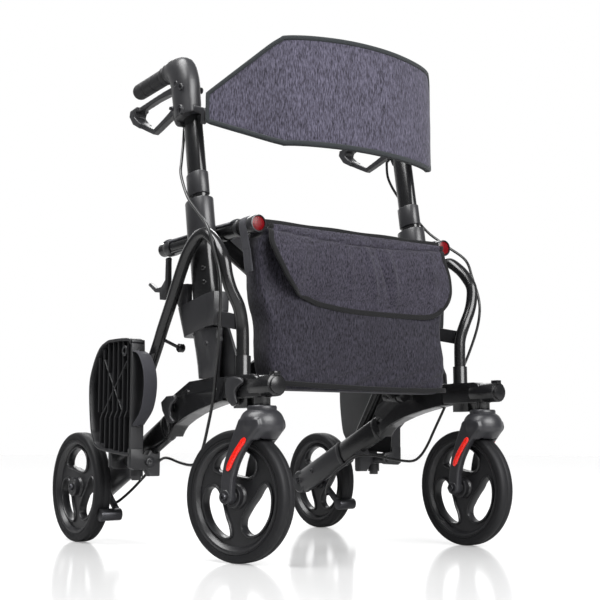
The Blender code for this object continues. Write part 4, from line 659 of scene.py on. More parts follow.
def fork(label, side, matrix):
    """The domed crown with its two legs, the bearing cups, the stem and both lenses."""
    stem = Vector((0, -TRAIL, 0))
    # Height of each level of the dome, and its half widths across and along.
    levels = ((0.1290, 0.0228, 0.0228), (0.1272, 0.0255, 0.0255), (0.1240, 0.0295, 0.0288),
              (0.1185, 0.0330, 0.0318), (0.1130, 0.0346, 0.0336), (0.1050, 0.0350, 0.0340),
              (0.0980, 0.0340, 0.0322), (0.0840, 0.0330, 0.0215))
    crown = skin([ellipse(stem + Vector((0, max(0.0, 0.1 - z) * 0.35, z)), (1, 0, 0), (0, 1, 0), a, b, 48)
                  for z, a, b in levels])
    front = [(-0.0137, 0.0245), (-0.0225, 0.0480), (-0.0375, 0.0715), (-0.0555, 0.0915), (-0.0660, 0.1030),
             (-0.0640, 0.1160)]
    back = [(-0.0260, 0.1160), (-0.0085, 0.0800), (0.0030, 0.0510), (0.0090, 0.0245)]
    foot = [(FORK_FOOT * math.cos(math.radians(a)), FORK_FOOT * math.sin(math.radians(a)))
            for a in range(350, 186, -16)]
    outline = [p.yz for edge in (front, back) for p in flowing([(0, *p) for p in edge], 4)] + foot
    legs = [slab(outline, low, low + FORK_LEG, 0.0034) for low in (0.0200, -0.0200 - FORK_LEG)]
    slot = turned_piece([(0, -0.0196), (0.1042, -0.0196), (0.1042, 0.0196), (0, 0.0196)], (0, 0, 0),
                        ACROSS, 96)
    obj = moulded(f"fork_shell_{label}", [crown] + legs, 0.0015, 5, (slot,))
    cups = [turned_piece([(0, 0.0188), (0.0105, 0.0188), (0.0105, 0.0338), (0.0098, 0.0345), (0, 0.0345)],
                         (0, 0, 0), (s, 0, 0), 40) for s in (1, -1)]
    disc = turned_piece([(0, 0.126), (0.0205, 0.126), (0.0225, 0.1285), (0.0225, 0.1335), (0.0212, 0.1355),
                         (0.0140, 0.1355), (0.0132, 0.1362), (0, 0.1362)], stem, (0, 0, 1), 56)
    post = turned_piece([(0, 0.135), (0.0060, 0.135), (0.0060, 0.168), (0, 0.168)], stem, (0, 0, 1), 24)
    piece = gather(f"caster_shell_{label}", [obj] + cups + [disc, post], side, matrix)
    dress(smooth_edges(piece, 40), fork_nylon, f"caster_{label}", f"caster_fork_{label}")
    for place, s in (("outer", 1), ("inner", -1)):
        middle = [p.yz for p in flowing(LENS_LINE, 8)]
        left, right = [], []
        for i, p in enumerate(middle):
            ahead = heading(middle, i)
            end = min(i, len(middle) - 1 - i)
            half = LENS_HALF_WIDTH * math.sqrt(min(1.0, (end + 0.6) / 3))
            across = Vector((-ahead.y, ahead.x)) * half
            left.append(p + across)
            right.append(p - across)
        lens = slab(left + right[::-1], LENS_FROM, LENS_TO, 0.0009)
        if s < 0:
            lens.data.transform(Matrix.Diagonal((-1, 1, 1, 1)))
        lens = smooth_edges(gather(f"{place}_fork_lens_{label}", [lens], side, matrix), 30)
        dress(lens, reflector_red, f"caster_{label}", *((f"fork_reflector_{label}",) if s > 0 else ()))


for label, side in SIDES.items():
    fork(label, side, caster_at[label])


# Handles: a moulded housing over the top of the inner post, a rubber grip on its core, and a
# looped brake lever on a screw. The cable runs from the lever down inside the loop to the arm.
HANDLE_X = 0.245
# Stations up the housing: y, z, half depth, half width and lean in degrees.
HOUSING = ((-0.3268, 0.7310, 0.0276, 0.0190, 8.8), (-0.3266, 0.7322, 0.0283, 0.0197, 8.8),
           (-0.3215, 0.7600, 0.0292, 0.0206, 8.8), (-0.3160, 0.7930, 0.0302, 0.0209, 15),
           (-0.3055, 0.8130, 0.0312, 0.0209, 48), (-0.2870, 0.8240, 0.0215, 0.0199, 82),
           (-0.2700, 0.8262, 0.0176, 0.0176, 91), (-0.2625, 0.8265, 0.0175, 0.0175, 92))
GRIP_FROM, GRIP_TO = at(HANDLE_X, -0.2622, 0.8267), at(HANDLE_X, -0.1450, 0.8226)
LEVER_PIN = (-0.2980, 0.7513)
CLAMP_SCREWS, CABLE_SCREW = ((-0.3190, 0.7885), (-0.3350, 0.7800)), (-0.3330, 0.7400)
SCREW_FACE, PIN_FACE, FERRULE_X = 0.0192, 0.0150, 0.2300
CABLE_RADIUS = 0.0025
GRIP_PANELS, GRIP_GROOVES = 3, 9

# Soft grip rubber: black and matt, moulded with fine crosswise grooves that catch the light.
grip_rubber, tree, shader, place = new_material("soft_grip_rubber", "#1d1d1f", 0.58)
bands = add(tree, "TexWave", {"Vector": place, "Scale": 120.0, "Distortion": 0.3, "Detail": 1.0},
            wave_type="BANDS", bands_direction="Y")
grain = add(tree, "TexNoise", {"Vector": place, "Scale": 1500.0, "Detail": 2.0})
relief = add(tree, "Math", {0: bands.outputs["Fac"], 1: grain.outputs["Fac"]}, operation="ADD")
bump = add(tree, "Bump", {"Height": relief.outputs[0], "Strength": 0.35, "Distance": 0.0006})
worn = add(tree, "TexNoise", {"Vector": place, "Scale": 40.0, "Detail": 3.0})
worn = add(tree, "MapRange", {"Value": worn.outputs["Fac"], "To Min": 0.45, "To Max": 0.68})
tree.links.new(bump.outputs[0], shader.inputs["Normal"])
tree.links.new(worn.outputs[0], shader.inputs["Roughness"])

# PVC jacket of the brake cable: black, smooth and slightly oily.
cable_jacket, tree, shader, place = new_material("black_pvc_jacket", "#161617", 0.3)
ripple = add(tree, "TexNoise", {"Vector": place, "Scale": 300.0, "Detail": 2.0})
bump = add(tree, "Bump", {"Height": ripple.outputs["Fac"], "Strength": 0.1, "Distance": 0.0004})
ripple = add(tree, "MapRange", {"Value": ripple.outputs["Fac"], "To Min": 0.22, "To Max": 0.42})
tree.links.new(bump.outputs[0], shader.inputs["Normal"])
tree.links.new(ripple.outputs[0], shader.inputs["Roughness"])


def spread(rings, steps=4):
    """More rings between the given ones, on a smooth curve through them."""
    lines = [flowing([ring[i] for ring in rings], steps) for i in range(len(rings[0]))]
    return [list(ring) for ring in zip(*lines)]


def shift_y(outline):
    """(y, z) points given from the rear axle, as world ones."""
    return [(y + REAR_AXLE_Y, z) for y, z in outline]


CABLE = [(0.2300, -0.2922, 0.7320), (0.2305, -0.2885, 0.7270), (0.2330, -0.2900, 0.6970),
         (0.2440, -0.3040, 0.6612), (0.2570, -0.3250, 0.6297), (0.2660, -0.3640, 0.5831),
         (0.2730, -0.4109, 0.5479), (0.2800, -0.4527, 0.5163), (0.2800, -0.4697, 0.4803),
         (0.2790, -0.4848, 0.4430), (0.2780, -0.4879, 0.4132), (0.2740, -0.4804, 0.3755),
         (0.2640, -0.4589, 0.3186), (0.2560, -0.4389, 0.2841), (0.2505, -0.4235, 0.2488),
         (0.2450, -0.3978, 0.2036), (0.2420, -0.3790, 0.1725), (0.2400, -0.3602, 0.1525),
         (0.2380, -0.3377, 0.1441), (0.2340, -0.2930, 0.1470), (0.2270, -0.2403, 0.1540),
         (0.2185, -0.2000, 0.1520), (0.2180, -0.1650, 0.1370), (0.2180, -0.1250, 0.1150),
         (0.2250, -0.0950, 0.0930), (0.2370, -0.0735, 0.0750), (0.2451, -0.0700, 0.0726)]
LEVER = [(-0.3030, 0.7440), (-0.2800, 0.7440), (-0.2180, 0.7290), (-0.2050, 0.7305),
         (-0.1450, 0.7600), (-0.1300, 0.7780), (-0.1330, 0.7880), (-0.1750, 0.7915),
         (-0.2580, 0.7965), (-0.2850, 0.7930), (-0.3040, 0.7640), (-0.3060, 0.7520)]
LEVER_HOLE = [(-0.2780, 0.7570), (-0.2200, 0.7385), (-0.2080, 0.7390), (-0.1640, 0.7620),
              (-0.1500, 0.7740), (-0.1540, 0.7810), (-0.1900, 0.7835), (-0.2350, 0.7860),
              (-0.2760, 0.7835), (-0.2860, 0.7700)]
LEVER_END = [(-0.1700, 0.7470), (-0.1450, 0.7600), (-0.1300, 0.7780), (-0.1330, 0.7880),
             (-0.1600, 0.7905), (-0.1620, 0.7825), (-0.1540, 0.7810), (-0.1500, 0.7740),
             (-0.1640, 0.7620), (-0.1740, 0.7560)]

for label, side in SIDES.items():
    rings = []
    for y, z, a, b, degrees in HOUSING:
        lean = math.radians(degrees)
        normal = Vector((0, math.sin(lean), math.cos(lean)))
        rings.append(ellipse(at(HANDLE_X, y, z), ACROSS, normal.cross(ACROSS), b, a, 48, 2.35))
    shell = skin([rings[0]] + spread(rings[1:-1], 5) + [rings[-1]])
    arm = slab(shift_y([(-0.3500, 0.7370), (-0.3500, 0.7470), (-0.3870, 0.7330), (-0.3896, 0.7270),
                        (-0.3800, 0.7080), (-0.3740, 0.7080), (-0.3760, 0.7250)]),
               HANDLE_X - 0.0045, HANDLE_X + 0.0045, 0.0008)
    slot = slab(shift_y([(-0.3090, 0.7365), (-0.3090, 0.7640), (-0.2890, 0.8010), (-0.2700, 0.8010),
                         (-0.2700, 0.7365)]), HANDLE_X - 0.0070, HANDLE_X + 0.0070)
    body = moulded(f"housing_shell_{label}", [shell, arm], 0.0012, 3, (gather("slot", [slot]),))
    rims = [turned_piece([(0.0040, -0.002), (0.0056, -0.002), (0.0056, 0.0008), (0.0050, 0.0014),
                          (0.0040, 0.0010)], at(HANDLE_X + s * 0.0203, y, z), (s, 0, 0), 32, closed=True)
            for s in (1, -1) for y, z in CLAMP_SCREWS]
    rims.append(turned_piece([(0.0062, -0.004), (0.0090, -0.004), (0.0090, 0.0012), (0.0082, 0.0020),
                              (0.0062, 0.0014)], at(HANDLE_X + 0.0198, *CABLE_SCREW), ACROSS, 40,
                             closed=True))
    screws = [bolt_head(at(HANDLE_X + s * SCREW_FACE, y, z), (s, 0, 0), 0.0040, 0.0016)
              for s in (1, -1) for y, z in CLAMP_SCREWS]
    screws.append(bolt_head(at(HANDLE_X + SCREW_FACE, *CABLE_SCREW), ACROSS, 0.0061, 0.0026))
    head = bolt_head(at(HANDLE_X + PIN_FACE, *LEVER_PIN), ACROSS, 0.0045, 0.0026)
    nut = turned_piece([(0, 0), (0.0045, 0), (0.0045, 0.0025), (0, 0.0025)],
                       at(HANDLE_X - PIN_FACE, *LEVER_PIN), -ACROSS, 6)
    pin = pipe([at(HANDLE_X - PIN_FACE, *LEVER_PIN), at(HANDLE_X + 0.0200, *LEVER_PIN)], 0.0030, 16)
    tail = skin([ellipse(at(HANDLE_X, -0.3010, z), ACROSS, (0, 1, 0), a, b, 28, 3)
                 for z, a, b in ((0.7500, 0.0150, 0.0080), (0.7330, 0.0130, 0.0070),
                                 (0.7240, 0.0090, 0.0050), (0.7215, 0.0060, 0.0035))])
    ferrule = pipe([at(FERRULE_X, y, z) for y, z in ((-0.3010, 0.7423), (-0.2950, 0.7353),
                                                     (-0.2930, 0.7330))], 0.0034, 16)
    piece = gather(f"housing_moulding_{label}", [body, pin, ferrule, tail] + rims, side)
    dress(smooth_edges(piece, 40), satin_nylon, f"handle_{label}", f"handle_housing_{label}")
    piece = gather(f"housing_screws_{label}", [head, nut] + screws, side)
    dress(smooth_edges(piece, 30), black_zinc, f"handle_{label}")

    axis = GRIP_TO - GRIP_FROM
    length = axis.length
    profile = [(0, length - 0.0008), (0.0075, length - 0.0008), (0.0082, length), (0.0118, length),
               (0.0135, length - 0.0010), (0.0143, length - 0.0035)]
    low, high = 0.0170, length - 0.0060
    for i in range(GRIP_PANELS):
        top, width = high - (high - low) * i / GRIP_PANELS, (high - low) / GRIP_PANELS
        for k in range(GRIP_GROOVES):
            here = top - width * 0.75 * k / (GRIP_GROOVES - 1)
            profile.append((0.0148 - (0.0005 if k % 2 else 0.0), here))
        profile += [(radius, top - width * share)
                    for radius, share in ((0.0138, 0.80), (0.0134, 0.88), (0.0138, 0.96))]
    profile += [(0.0158, low - 0.0012), (0.0163, low - 0.0030), (0.0163, 0.0085), (0.0158, 0.0068),
                (0.0145, 0.0060), (0.0143, 0.0003), (0.0096, 0.0003)]
    piece = gather(f"grip_sleeve_{label}", [turned_piece(profile, GRIP_FROM, axis, 48)], side)
    dress(smooth_edges(piece, 50), grip_rubber, f"handle_{label}", f"grip_{label}")

    outer, hole = (flowing([(0, *p) for p in shift_y(line)], 5, closed=True)
                   for line in (LEVER, LEVER_HOLE))
    blade = pierced_plate(outer, [hole], HANDLE_X - 0.0062, HANDLE_X + 0.0062)
    strap = slab(shift_y(LEVER_END), HANDLE_X - 0.0125, HANDLE_X + 0.0125)
    body = moulded(f"lever_blade_{label}", [blade, strap], 0.0010, 10)
    piece = gather(f"lever_loop_{label}", [body], side)
    dress(smooth_edges(piece, 60), satin_nylon, f"lever_{label}", f"brake_lever_{label}")

    route = flowing([at(*p) for p in CABLE], 6)
    piece = gather(f"cable_jacket_{label}", [pipe(route, CABLE_RADIUS, 12)], side)
    piece.data.materials.clear()
    piece.data.materials.append(cable_jacket)
    smooth_edges(piece, 60)
    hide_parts(f"brake_cable_{label}")
    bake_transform(piece)


# Footrests: a ribbed plate moulded in one with its hinge arms, folded up against the frame, on
# a stub that lifts out of the leg's socket; a webbing strap holds the heel.
PLATE_X, PLATE_BACK, PLATE_SKIN, RIM_WALL, RIM_EDGE = 0.300, 0.275, 0.0045, 0.0050, 0.0009
RIBS, RIB_TOP, RIB_WALL = 7, 0.298, 0.0024
HINGE_X, HINGE_Z, HINGE_RADIUS = 0.265, 0.148, 0.0115
BOSS_PLACE = (0, -0.2080, 0.3380)
PLATE_OUTLINE = [(-0.2250, 0.1583), (-0.1147, 0.1696), (-0.0900, 0.1900), (-0.0795, 0.2150),
                 (-0.0729, 0.2812), (-0.0860, 0.3180), (-0.1111, 0.3478), (-0.1400, 0.3590),
                 (-0.1622, 0.3609), (-0.2200, 0.3590), (-0.2340, 0.3520), (-0.2394, 0.3400),
                 (-0.2380, 0.1900), (-0.2360, 0.1640)]
# The ribs stand side by side along Y and jog by half a gap at the height of the chevron.
RIB_START, RIB_GAP, RIB_FOOT, RIB_HEAD, CHEVRON = -0.2200, 0.0185, 0.1640, 0.3560, 0.2250

# Glass-filled nylon with a coarser grain that takes dust: black, dull on the plate's face.
plate_nylon = grained("textured_black_nylon", "#1d1d1f", (1000.0, 3.0), (0.22, 0.0004), (25.0, 4.0),
                      (0.30, 0.48))


def inset(outline, distance):
    """The outline moved inward by a distance."""
    points, found = [Vector(p) for p in outline], []
    area = sum(a.x * b.y - b.x * a.y for a, b in zip(points, points[1:] + points[:1]))
    turn = 1 if area > 0 else -1
    for i, p in enumerate(points):
        ahead = heading(points, i, closed=True)
        found.append(p + Vector((-ahead.y, ahead.x)) * turn * distance)
    return found


def wall(a, b, low, high, thick):
    """A rib between two (y, z) points, from low to high in x, slightly drafted."""
    a, b = Vector(a), Vector(b)
    n = Vector((-(b - a).y, (b - a).x)).normalized() * thick / 2
    foot = [Vector((low, *p)) for p in (a + n * 1.3, b + n * 1.3, b - n * 1.3, a - n * 1.3)]
    tip = [Vector((high - 0.0005, *p)) for p in (a + n, b + n, b - n, a - n)]
    edge = [Vector((high, *p)) for p in (a + n * 0.6, b + n * 0.6, b - n * 0.6, a - n * 0.6)]
    return skin([foot, tip, edge])


for label, side in SIDES.items():
    line = [p.yz for p in flowing([(0, *p) for p in shift_y(PLATE_OUTLINE)], 5, closed=True)]
    floor = slab(line, PLATE_BACK, PLATE_BACK + PLATE_SKIN, RIM_EDGE)
    edge, rings = RIM_EDGE, []
    for x, o in ((PLATE_BACK + 0.003, 0.0), (PLATE_X - edge, 0.0), (PLATE_X - edge * 0.3, edge * 0.3),
                 (PLATE_X, edge), (PLATE_X, RIM_WALL - edge), (PLATE_X - edge * 0.3, RIM_WALL - edge * 0.3),
                 (PLATE_X - edge, RIM_WALL), (PLATE_BACK + 0.003, RIM_WALL + 0.0006)):
        rings.append([Vector((x, *p)) for p in inset(line, o)])
    rim = skin(rings, closed=True)
    ribs, low = [], PLATE_BACK + 0.004
    for i in range(RIBS):
        y = REAR_AXLE_Y + RIB_START + RIB_GAP * i
        top = RIB_HEAD - max(0.0, i - 4) * 0.0120
        ribs.append(wall((y, CHEVRON + 0.0100), (y, top), low, RIB_TOP, RIB_WALL))
        foot = RIB_FOOT + 0.0060 * max(0.0, i - 3) ** 1.4
        if i < RIBS - 1:
            shifted = y + RIB_GAP * 0.55
            ribs.append(wall((shifted, foot), (shifted, CHEVRON), low, RIB_TOP, RIB_WALL))
            ribs.append(wall((shifted, CHEVRON - 0.0010), (y, CHEVRON + 0.0110), low, RIB_TOP, RIB_WALL))
    for a, b in (((-0.2150, 0.3200), (-0.1250, 0.2330)), ((-0.1250, 0.3300), (-0.2000, 0.2330))):
        ribs.append(wall(*shift_y([a, b]), low, RIB_TOP - 0.001, RIB_WALL))
    boss = turned_piece([(0.0048, low), (0.0095, low), (0.0095, RIB_TOP + 0.0003), (0.0088, RIB_TOP + 0.0010),
                         (0.0054, RIB_TOP + 0.0010), (0.0048, RIB_TOP + 0.0004)], at(*BOSS_PLACE), ACROSS, 40,
                        closed=True)
    well = turned_piece([(0, RIB_TOP - 0.003), (0.0052, RIB_TOP - 0.003), (0.0052, low), (0, low)],
                        at(*BOSS_PLACE), ACROSS, 32)
    arms = []
    for front, rear in ((-0.2394, -0.2270), (-0.1660, -0.1540)):
        bend = [(HINGE_X + HINGE_RADIUS * math.cos(math.radians(a)),
                 HINGE_Z + HINGE_RADIUS * math.sin(math.radians(a))) for a in range(100, 263, 18)]
        outline = bend + [(0.2920, 0.1350), (0.2990, 0.1390), (0.2990, 0.1700), (0.2765, 0.1700),
                          (0.2765, 0.1600)]
        arm = slab(outline, 0, rear - front, 0.0008)
        # The arm's outline is in x and z, so it is turned out of the plane that slab() draws in.
        turn = Matrix(((0, 1, 0, 0), (1, 0, 0, front + REAR_AXLE_Y), (0, 0, 1, 0), (0, 0, 0, 1)))
        arm.data.transform(turn)
        arms.append(arm)
    piece = gather(f"footrest_plate_{label}", [floor, rim, boss, well] + ribs + arms, side)
    dress(smooth_edges(piece, 35), plate_nylon, f"footrest_{label}", f"footplate_{label}")
    eased(f"footrest_hanger_{label}", satin_nylon, f"hanger_{label}", 0.0006)


# Seat rails and fold hook: a tube on each side, carried by the braces, with a moulded cap at
# the rear and a red lens in a black ring at the front; a hook hangs from the right one.
RAIL_X, RAIL_Z, RAIL_R = 0.2015, 0.528, 0.0125
RAIL_REAR, RAIL_FRONT = -0.1690, -0.4745
RAIL_BODY = {"right": "brace_b", "left": "brace_a"}
FORWARD = Vector((0, -1, 0))


def on_rail(y):
    """A place on the axis of the left seat rail."""
    return at(RAIL_X, y, RAIL_Z)


# The rail's lens is deeper acrylic over the same cells: crimson, with a scuffed face that mirrors nothing and
# a faint painted glow.
rail_red = reflector("deep_crimson_reflector", "#7c0710", "#1d0103", 0.03, 0.30, 0.0)
rail_red.node_tree.nodes["Principled BSDF"].inputs["Specular IOR Level"].default_value = 0.25
for label, side in SIDES.items():
    tube = pipe([on_rail(RAIL_REAR), on_rail(-0.3), on_rail(RAIL_FRONT)], RAIL_R, 40)
    piece = gather(f"rail_tube_{label}", [tube], side)
    dress(smooth_edges(piece), powder_coat, RAIL_BODY[label], f"seat_rail_{label}")
    cap = turned_piece([(0, 0), (0.0125, 0), (0.0142, 0.0012), (0.0150, 0.0032), (0.0150, 0.0212),
                        (0.0145, 0.0220), (0, 0.0220)], on_rail(-0.1870), FORWARD, 48)
    ring = turned_piece([(0.0127, 0), (0.0142, 0), (0.0148, 0.0010), (0.0148, 0.0072), (0.0142, 0.0080),
                         (0.0127, 0.0080)], on_rail(-0.4226), FORWARD, 48, closed=True)
    bezel = turned_piece([(0.0127, 0), (0.0142, 0), (0.0148, 0.0010), (0.0148, 0.0150), (0.0142, 0.0172),
                          (0.0126, 0.0176), (0.0122, 0.0160), (0.0122, 0.0140), (0.0127, 0.0130)],
                         on_rail(-0.4622), FORWARD, 48, closed=True)
    piece = gather(f"rail_fittings_{label}", [cap, ring, bezel], side)
    dress(smooth_edges(piece), satin_nylon, RAIL_BODY[label])
    lens = turned_piece([(0, 0), (0.0120, 0), (0.0120, 0.0020), (0.0114, 0.0034), (0.0090, 0.0044),
                         (0.0050, 0.0049), (0, 0.0050)], on_rail(RAIL_FRONT - 0.0003), FORWARD, 48)
    piece = gather(f"rail_lens_{label}", [lens], side)
    dress(smooth_edges(piece), rail_red, RAIL_BODY[label], f"rail_reflector_{label}")
eased("fold_hook", satin_nylon, "hook", 0.0006)


# Heel straps: 24 mm polypropylene webbing, riveted to the plate's rear rim, that bulges
# forward to stop the heel. Each keeps the curl it had on the roll.


def heather(name, dark, light, rough, across=620.0, along=130.0, axis="Z", sheen=0.12):
    """A melange cloth: dark and light yarns spun together, so flecks run with the warp."""
    made, tree, shader, place = new_material(name, dark, rough)
    scale = {"Z": (across, across, along), "X": (along, across, across)}[axis]
    warp = add(tree, "Mapping", {"Vector": place, "Scale": scale})
    fleck = add(tree, "TexNoise", {"Vector": warp.outputs[0], "Scale": 1.0, "Detail": 3.0,
                                   "Roughness": 0.65})
    ramp = add(tree, "ValToRGB", {"Fac": fleck.outputs["Fac"]})
    low, high = ramp.color_ramp.elements
    low.color, high.color, low.position, high.position = hex_colour(dark), hex_colour(light), 0.32, 0.74
    cloud = add(tree, "TexNoise", {"Vector": place, "Scale": 26.0, "Detail": 4.0})
    cloud = add(tree, "MapRange", {"Value": cloud.outputs["Fac"], "To Min": 0.80, "To Max": 1.18})
    shade = add(tree, "VectorMath", {0: ramp.outputs[0]}, operation="SCALE")
    tree.links.new(cloud.outputs[0], shade.inputs["Scale"])
    weft = add(tree, "TexNoise", {"Vector": place, "Scale": 1300.0, "Detail": 2.0})
    relief = add(tree, "Math", {0: fleck.outputs["Fac"], 1: weft.outputs["Fac"]}, operation="ADD")
    bump = add(tree, "Bump", {"Height": relief.outputs[0], "Strength": 0.30, "Distance": 0.0006})
    tree.links.new(shade.outputs[0], shader.inputs["Base Color"])
    tree.links.new(bump.outputs[0], shader.inputs["Normal"])
    for socket, value in (("Sheen Weight", sheen), ("Sheen Roughness", 0.5), ("Specular IOR Level", 0.15)):
        shader.inputs[socket].default_value = value
    return made


# Blender's wave bands repeat every BAND_REPEAT / scale metres.
BAND_REPEAT = 0.314


def ribbed(name, colour, pitch, direction, rough=0.82):
    """Woven tape: close ribs across it in relief, with painted shade in their hollows and painted highlight
    on their crests, which make fine lines.
    """
    made, tree, shader, place = new_material(name, colour, rough)
    ribs = add(tree, "TexWave", {"Vector": place, "Scale": BAND_REPEAT / pitch, "Distortion": 1.2,
                                 "Detail": 2.0, "Detail Scale": 3.0}, wave_type="BANDS",
               bands_direction=direction)
    fuzz = add(tree, "TexNoise", {"Vector": place, "Scale": 1400.0, "Detail": 2.0})
    # Painted shade and highlight: the colour darkens in the rib hollows and lightens on the crests.
    painted_rib_shading = add(tree, "ValToRGB", {"Fac": ribs.outputs["Fac"]})
    base = hex_colour(colour)[:3]
    painted_shade_hollow, painted_highlight_crest = painted_rib_shading.color_ramp.elements
    painted_shade_hollow.color = [v * 0.45 for v in base] + [1]
    painted_highlight_crest.color = [min(1, v * 1.5) for v in base] + [1]
    relief = add(tree, "Math", {0: ribs.outputs["Fac"], 1: fuzz.outputs["Fac"]}, operation="ADD")
    bump = add(tree, "Bump", {"Height": relief.outputs[0], "Strength": 0.5, "Distance": 0.0006})
    tree.links.new(painted_rib_shading.outputs[0], shader.inputs["Base Color"])
    tree.links.new(bump.outputs[0], shader.inputs["Normal"])
    for socket, value in (("Sheen Weight", 0.1), ("Specular IOR Level", 0.2)):
        shader.inputs[socket].default_value = value
    return made


# Polypropylene webbing: grey-black, with a coarse rib every 1.6 mm and a slight plastic shine.
webbing = ribbed("woven_polypropylene_webbing", "#35353a", 0.0016, "Z", 0.7)
# Grosgrain binding tape, folded over each raw edge: dark and finely ribbed.
binding = ribbed("grosgrain_binding_tape", "#272a2c", 0.0013, "X", 0.85)


def panel(rows, thickness):
    """A closed piece of cloth of even thickness about a grid of points."""
    across, verts = len(rows[0]), [p for row in rows for p in row]
    faces = [(r * across + i, r * across + i + 1, (r + 1) * across + i + 1, (r + 1) * across + i)
             for r in range(len(rows) - 1) for i in range(across - 1)]
    obj = mesh_piece("panel", verts, faces)
    thick = obj.modifiers.new("cloth", "SOLIDIFY")
    thick.thickness, thick.offset, thick.use_even_offset = thickness, 0.0, False
    return settled(obj)


def ribbon(points, normals, width_axis, width, thickness):
    """A flat tape with rounded edges along points; width_axis is a vector or one for each point."""
    rings = []
    for i, p in enumerate(points):
        u = width_axis[i] if isinstance(width_axis, list) else width_axis
        rings.append(ellipse(p, u, normals[i], width / 2, thickness / 2, 20, 4))
    return skin(rings)


def sew(piece, material, degrees=60, stands_for=None):
    """Gives a sewn piece its cloth and soft shading, and lets it stand for its CAD node."""
    piece.data.materials.append(material)
    smooth_edges(piece, degrees)
    if stands_for:
        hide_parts(stands_for)
    return piece


HEEL_X, HEEL_WIDTH = 0.2868, 0.0240
HEEL_RIVETS = ((-0.2405, 0.3335), (-0.2412, 0.2115))
HEEL = [(-0.2402, 0.3350), (-0.2600, 0.3270), (-0.2780, 0.3020), (-0.2820, 0.2700),
        (-0.2700, 0.2350), (-0.2402, 0.2100)]
for label, side in SIDES.items():
    line = flowing([at(HEEL_X, *p) for p in HEEL], 12)
    normals = []
    for i in range(len(line)):
        ahead = heading(line, i)
        normals.append(Vector((0, -ahead.z, ahead.y)))
    shares = [i / len(line) for i in range(len(line))]
    lean = [Vector((1, 0.10 * math.sin(3.1 * s), 0.12 * math.sin(5.0 * s))).normalized() for s in shares]
    strap = gather(f"heel_strap_{label}", [ribbon(line, normals, lean, HEEL_WIDTH, 0.0022)], side)
    dress(smooth_edges(strap, 60), webbing, f"footrest_{label}", f"heel_loop_{label}")
    rivets = [bolt_head(at(HEEL_X, y, z), FORWARD, 0.0045, 0.0018) for y, z in HEEL_RIVETS]
    dress(smooth_edges(gather(f"strap_rivets_{label}", rivets, side)), black_zinc, f"footrest_{label}")


# Seat: a sling of woven nylon, hemmed round both rails. It hangs slack by about 9 mm and
# is bound with tape along its front and rear edges.
seat_cloth = heather("black_woven_seat_nylon", "#1c1c20", "#4a4a52", 0.9, 700.0, 200.0, "X", 0.2)
SEAT_FRONT, SEAT_REAR, SEAT_SAG, SEAT_ROWS, SEAT_COLUMNS = -0.4215, -0.1880, 0.0090, 26, 44


def seat_line():
    """The cloth's line across the seat: round the left rail, down its sag and round the right rail."""
    top = RAIL_R + 0.0018
    wrap = [(RAIL_X + top * math.cos(math.radians(d)), RAIL_Z + top * math.sin(math.radians(d)))
            for d in range(38, 87, 8)]
    middle = []
    for i in range(SEAT_COLUMNS + 1):
        x = RAIL_X * (1 - 2 * i / SEAT_COLUMNS) * 0.965
        middle.append((x, RAIL_Z + top - SEAT_SAG * (1 - (x / RAIL_X) ** 2)))
    return wrap + middle + [(-x, z) for x, z in wrap[::-1]]


def between_rails(piece):
    """Cloth hung from both rails, its placement baked into its mesh; it rides on no body."""
    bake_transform(piece)


rows = []
for k in range(SEAT_ROWS + 1):
    y = SEAT_FRONT + (SEAT_REAR - SEAT_FRONT) * k / SEAT_ROWS
    rows.append([at(x, y, z - 0.0016 * math.sin(math.pi * k / SEAT_ROWS) * (1 - (x / 0.21) ** 2)
                    + 0.0006 * math.sin(60 * x + 35 * y)) for x, z in seat_line()])
seat = panel(rows, 0.0028)
seat.name = "seat_cloth"
sew(seat, seat_cloth, 50, "seat_sling")
between_rails(seat)
hems = []
for y in (SEAT_FRONT + 0.0045, SEAT_REAR - 0.0045):
    line = [at(x, y, z + 0.0002) for x, z in seat_line()]
    normals = []
    for i in range(len(line)):
        ahead = heading(line, i)
        normals.append(Vector((-ahead.z, 0, ahead.x)))
    hems.append(ribbon(line, normals, Vector((0, 1, 0)), 0.0100, 0.0048))
between_rails(sew(gather("seat_hem_tape", hems), binding))


# Bag: a soft box of the same melange cloth, hung by webbing from both rails, with a flap
# bound in tape. The side seams pull the cloth into shallow folds.
bag_cloth = heather("charcoal_melange_bag_cloth", "#07060a", "#3c3a44", 0.95, 640.0, 130.0)
flap_cloth = heather("charcoal_melange_flap_cloth", "#09080d", "#474450", 0.95, 640.0, 170.0)
# The bag's own binding is black, so its edges read as lines against the melange.
bag_binding = ribbed("black_binding_tape", "#0c0c0e", 0.0013, "X", 0.85)


def folds_away(piece):
    """Hangs from the right side frame, on a mesh of its own."""
    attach(piece, "right_frame")
    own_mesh(piece)


# The bag's depth grows by twice BAG_DEEPER, all of it at the rear, so its front stays where it shows.
BAG_DEEPER, BAG_SWELL_LIMIT, BAG_VOXEL, CLOTH_STEPS = 0.0080, 0.0075, 0.0055, 20
BAG_Y = -0.4620 + BAG_DEEPER
# Height of each level of the bag, its middle across, and its half widths across and along.
levels = ((0.2640, 0.0090, 0.1735, 0.0150), (0.2670, 0.0105, 0.1810, 0.0190),
          (0.2760, 0.0105, 0.1855, 0.0215), (0.2950, 0.0090, 0.1865, 0.0225),
          (0.3300, 0.0060, 0.1875, 0.0235), (0.3800, 0.0020, 0.1885, 0.0240),
          (0.4200, 0.0, 0.1925, 0.0235), (0.4600, -0.0020, 0.1985, 0.0225),
          (0.4900, -0.0020, 0.2020, 0.0220), (0.5060, -0.0010, 0.1990, 0.0215),
          (0.5120, 0.0, 0.1880, 0.0215), (0.5240, 0.0, 0.1870, 0.0215))
body = skin([ellipse(at(middle, BAG_Y, z), ACROSS, (0, 1, 0), a, b + BAG_DEEPER, 96, 9)
             for z, middle, a, b in levels])
remesh = body.modifiers.new("even", "REMESH")
remesh.mode, remesh.voxel_size = "VOXEL", BAG_VOXEL
body = settled(body, "bag_body")
rest = [v.co.copy() for v in body.data.vertices]
held = body.vertex_groups.new(name="held")
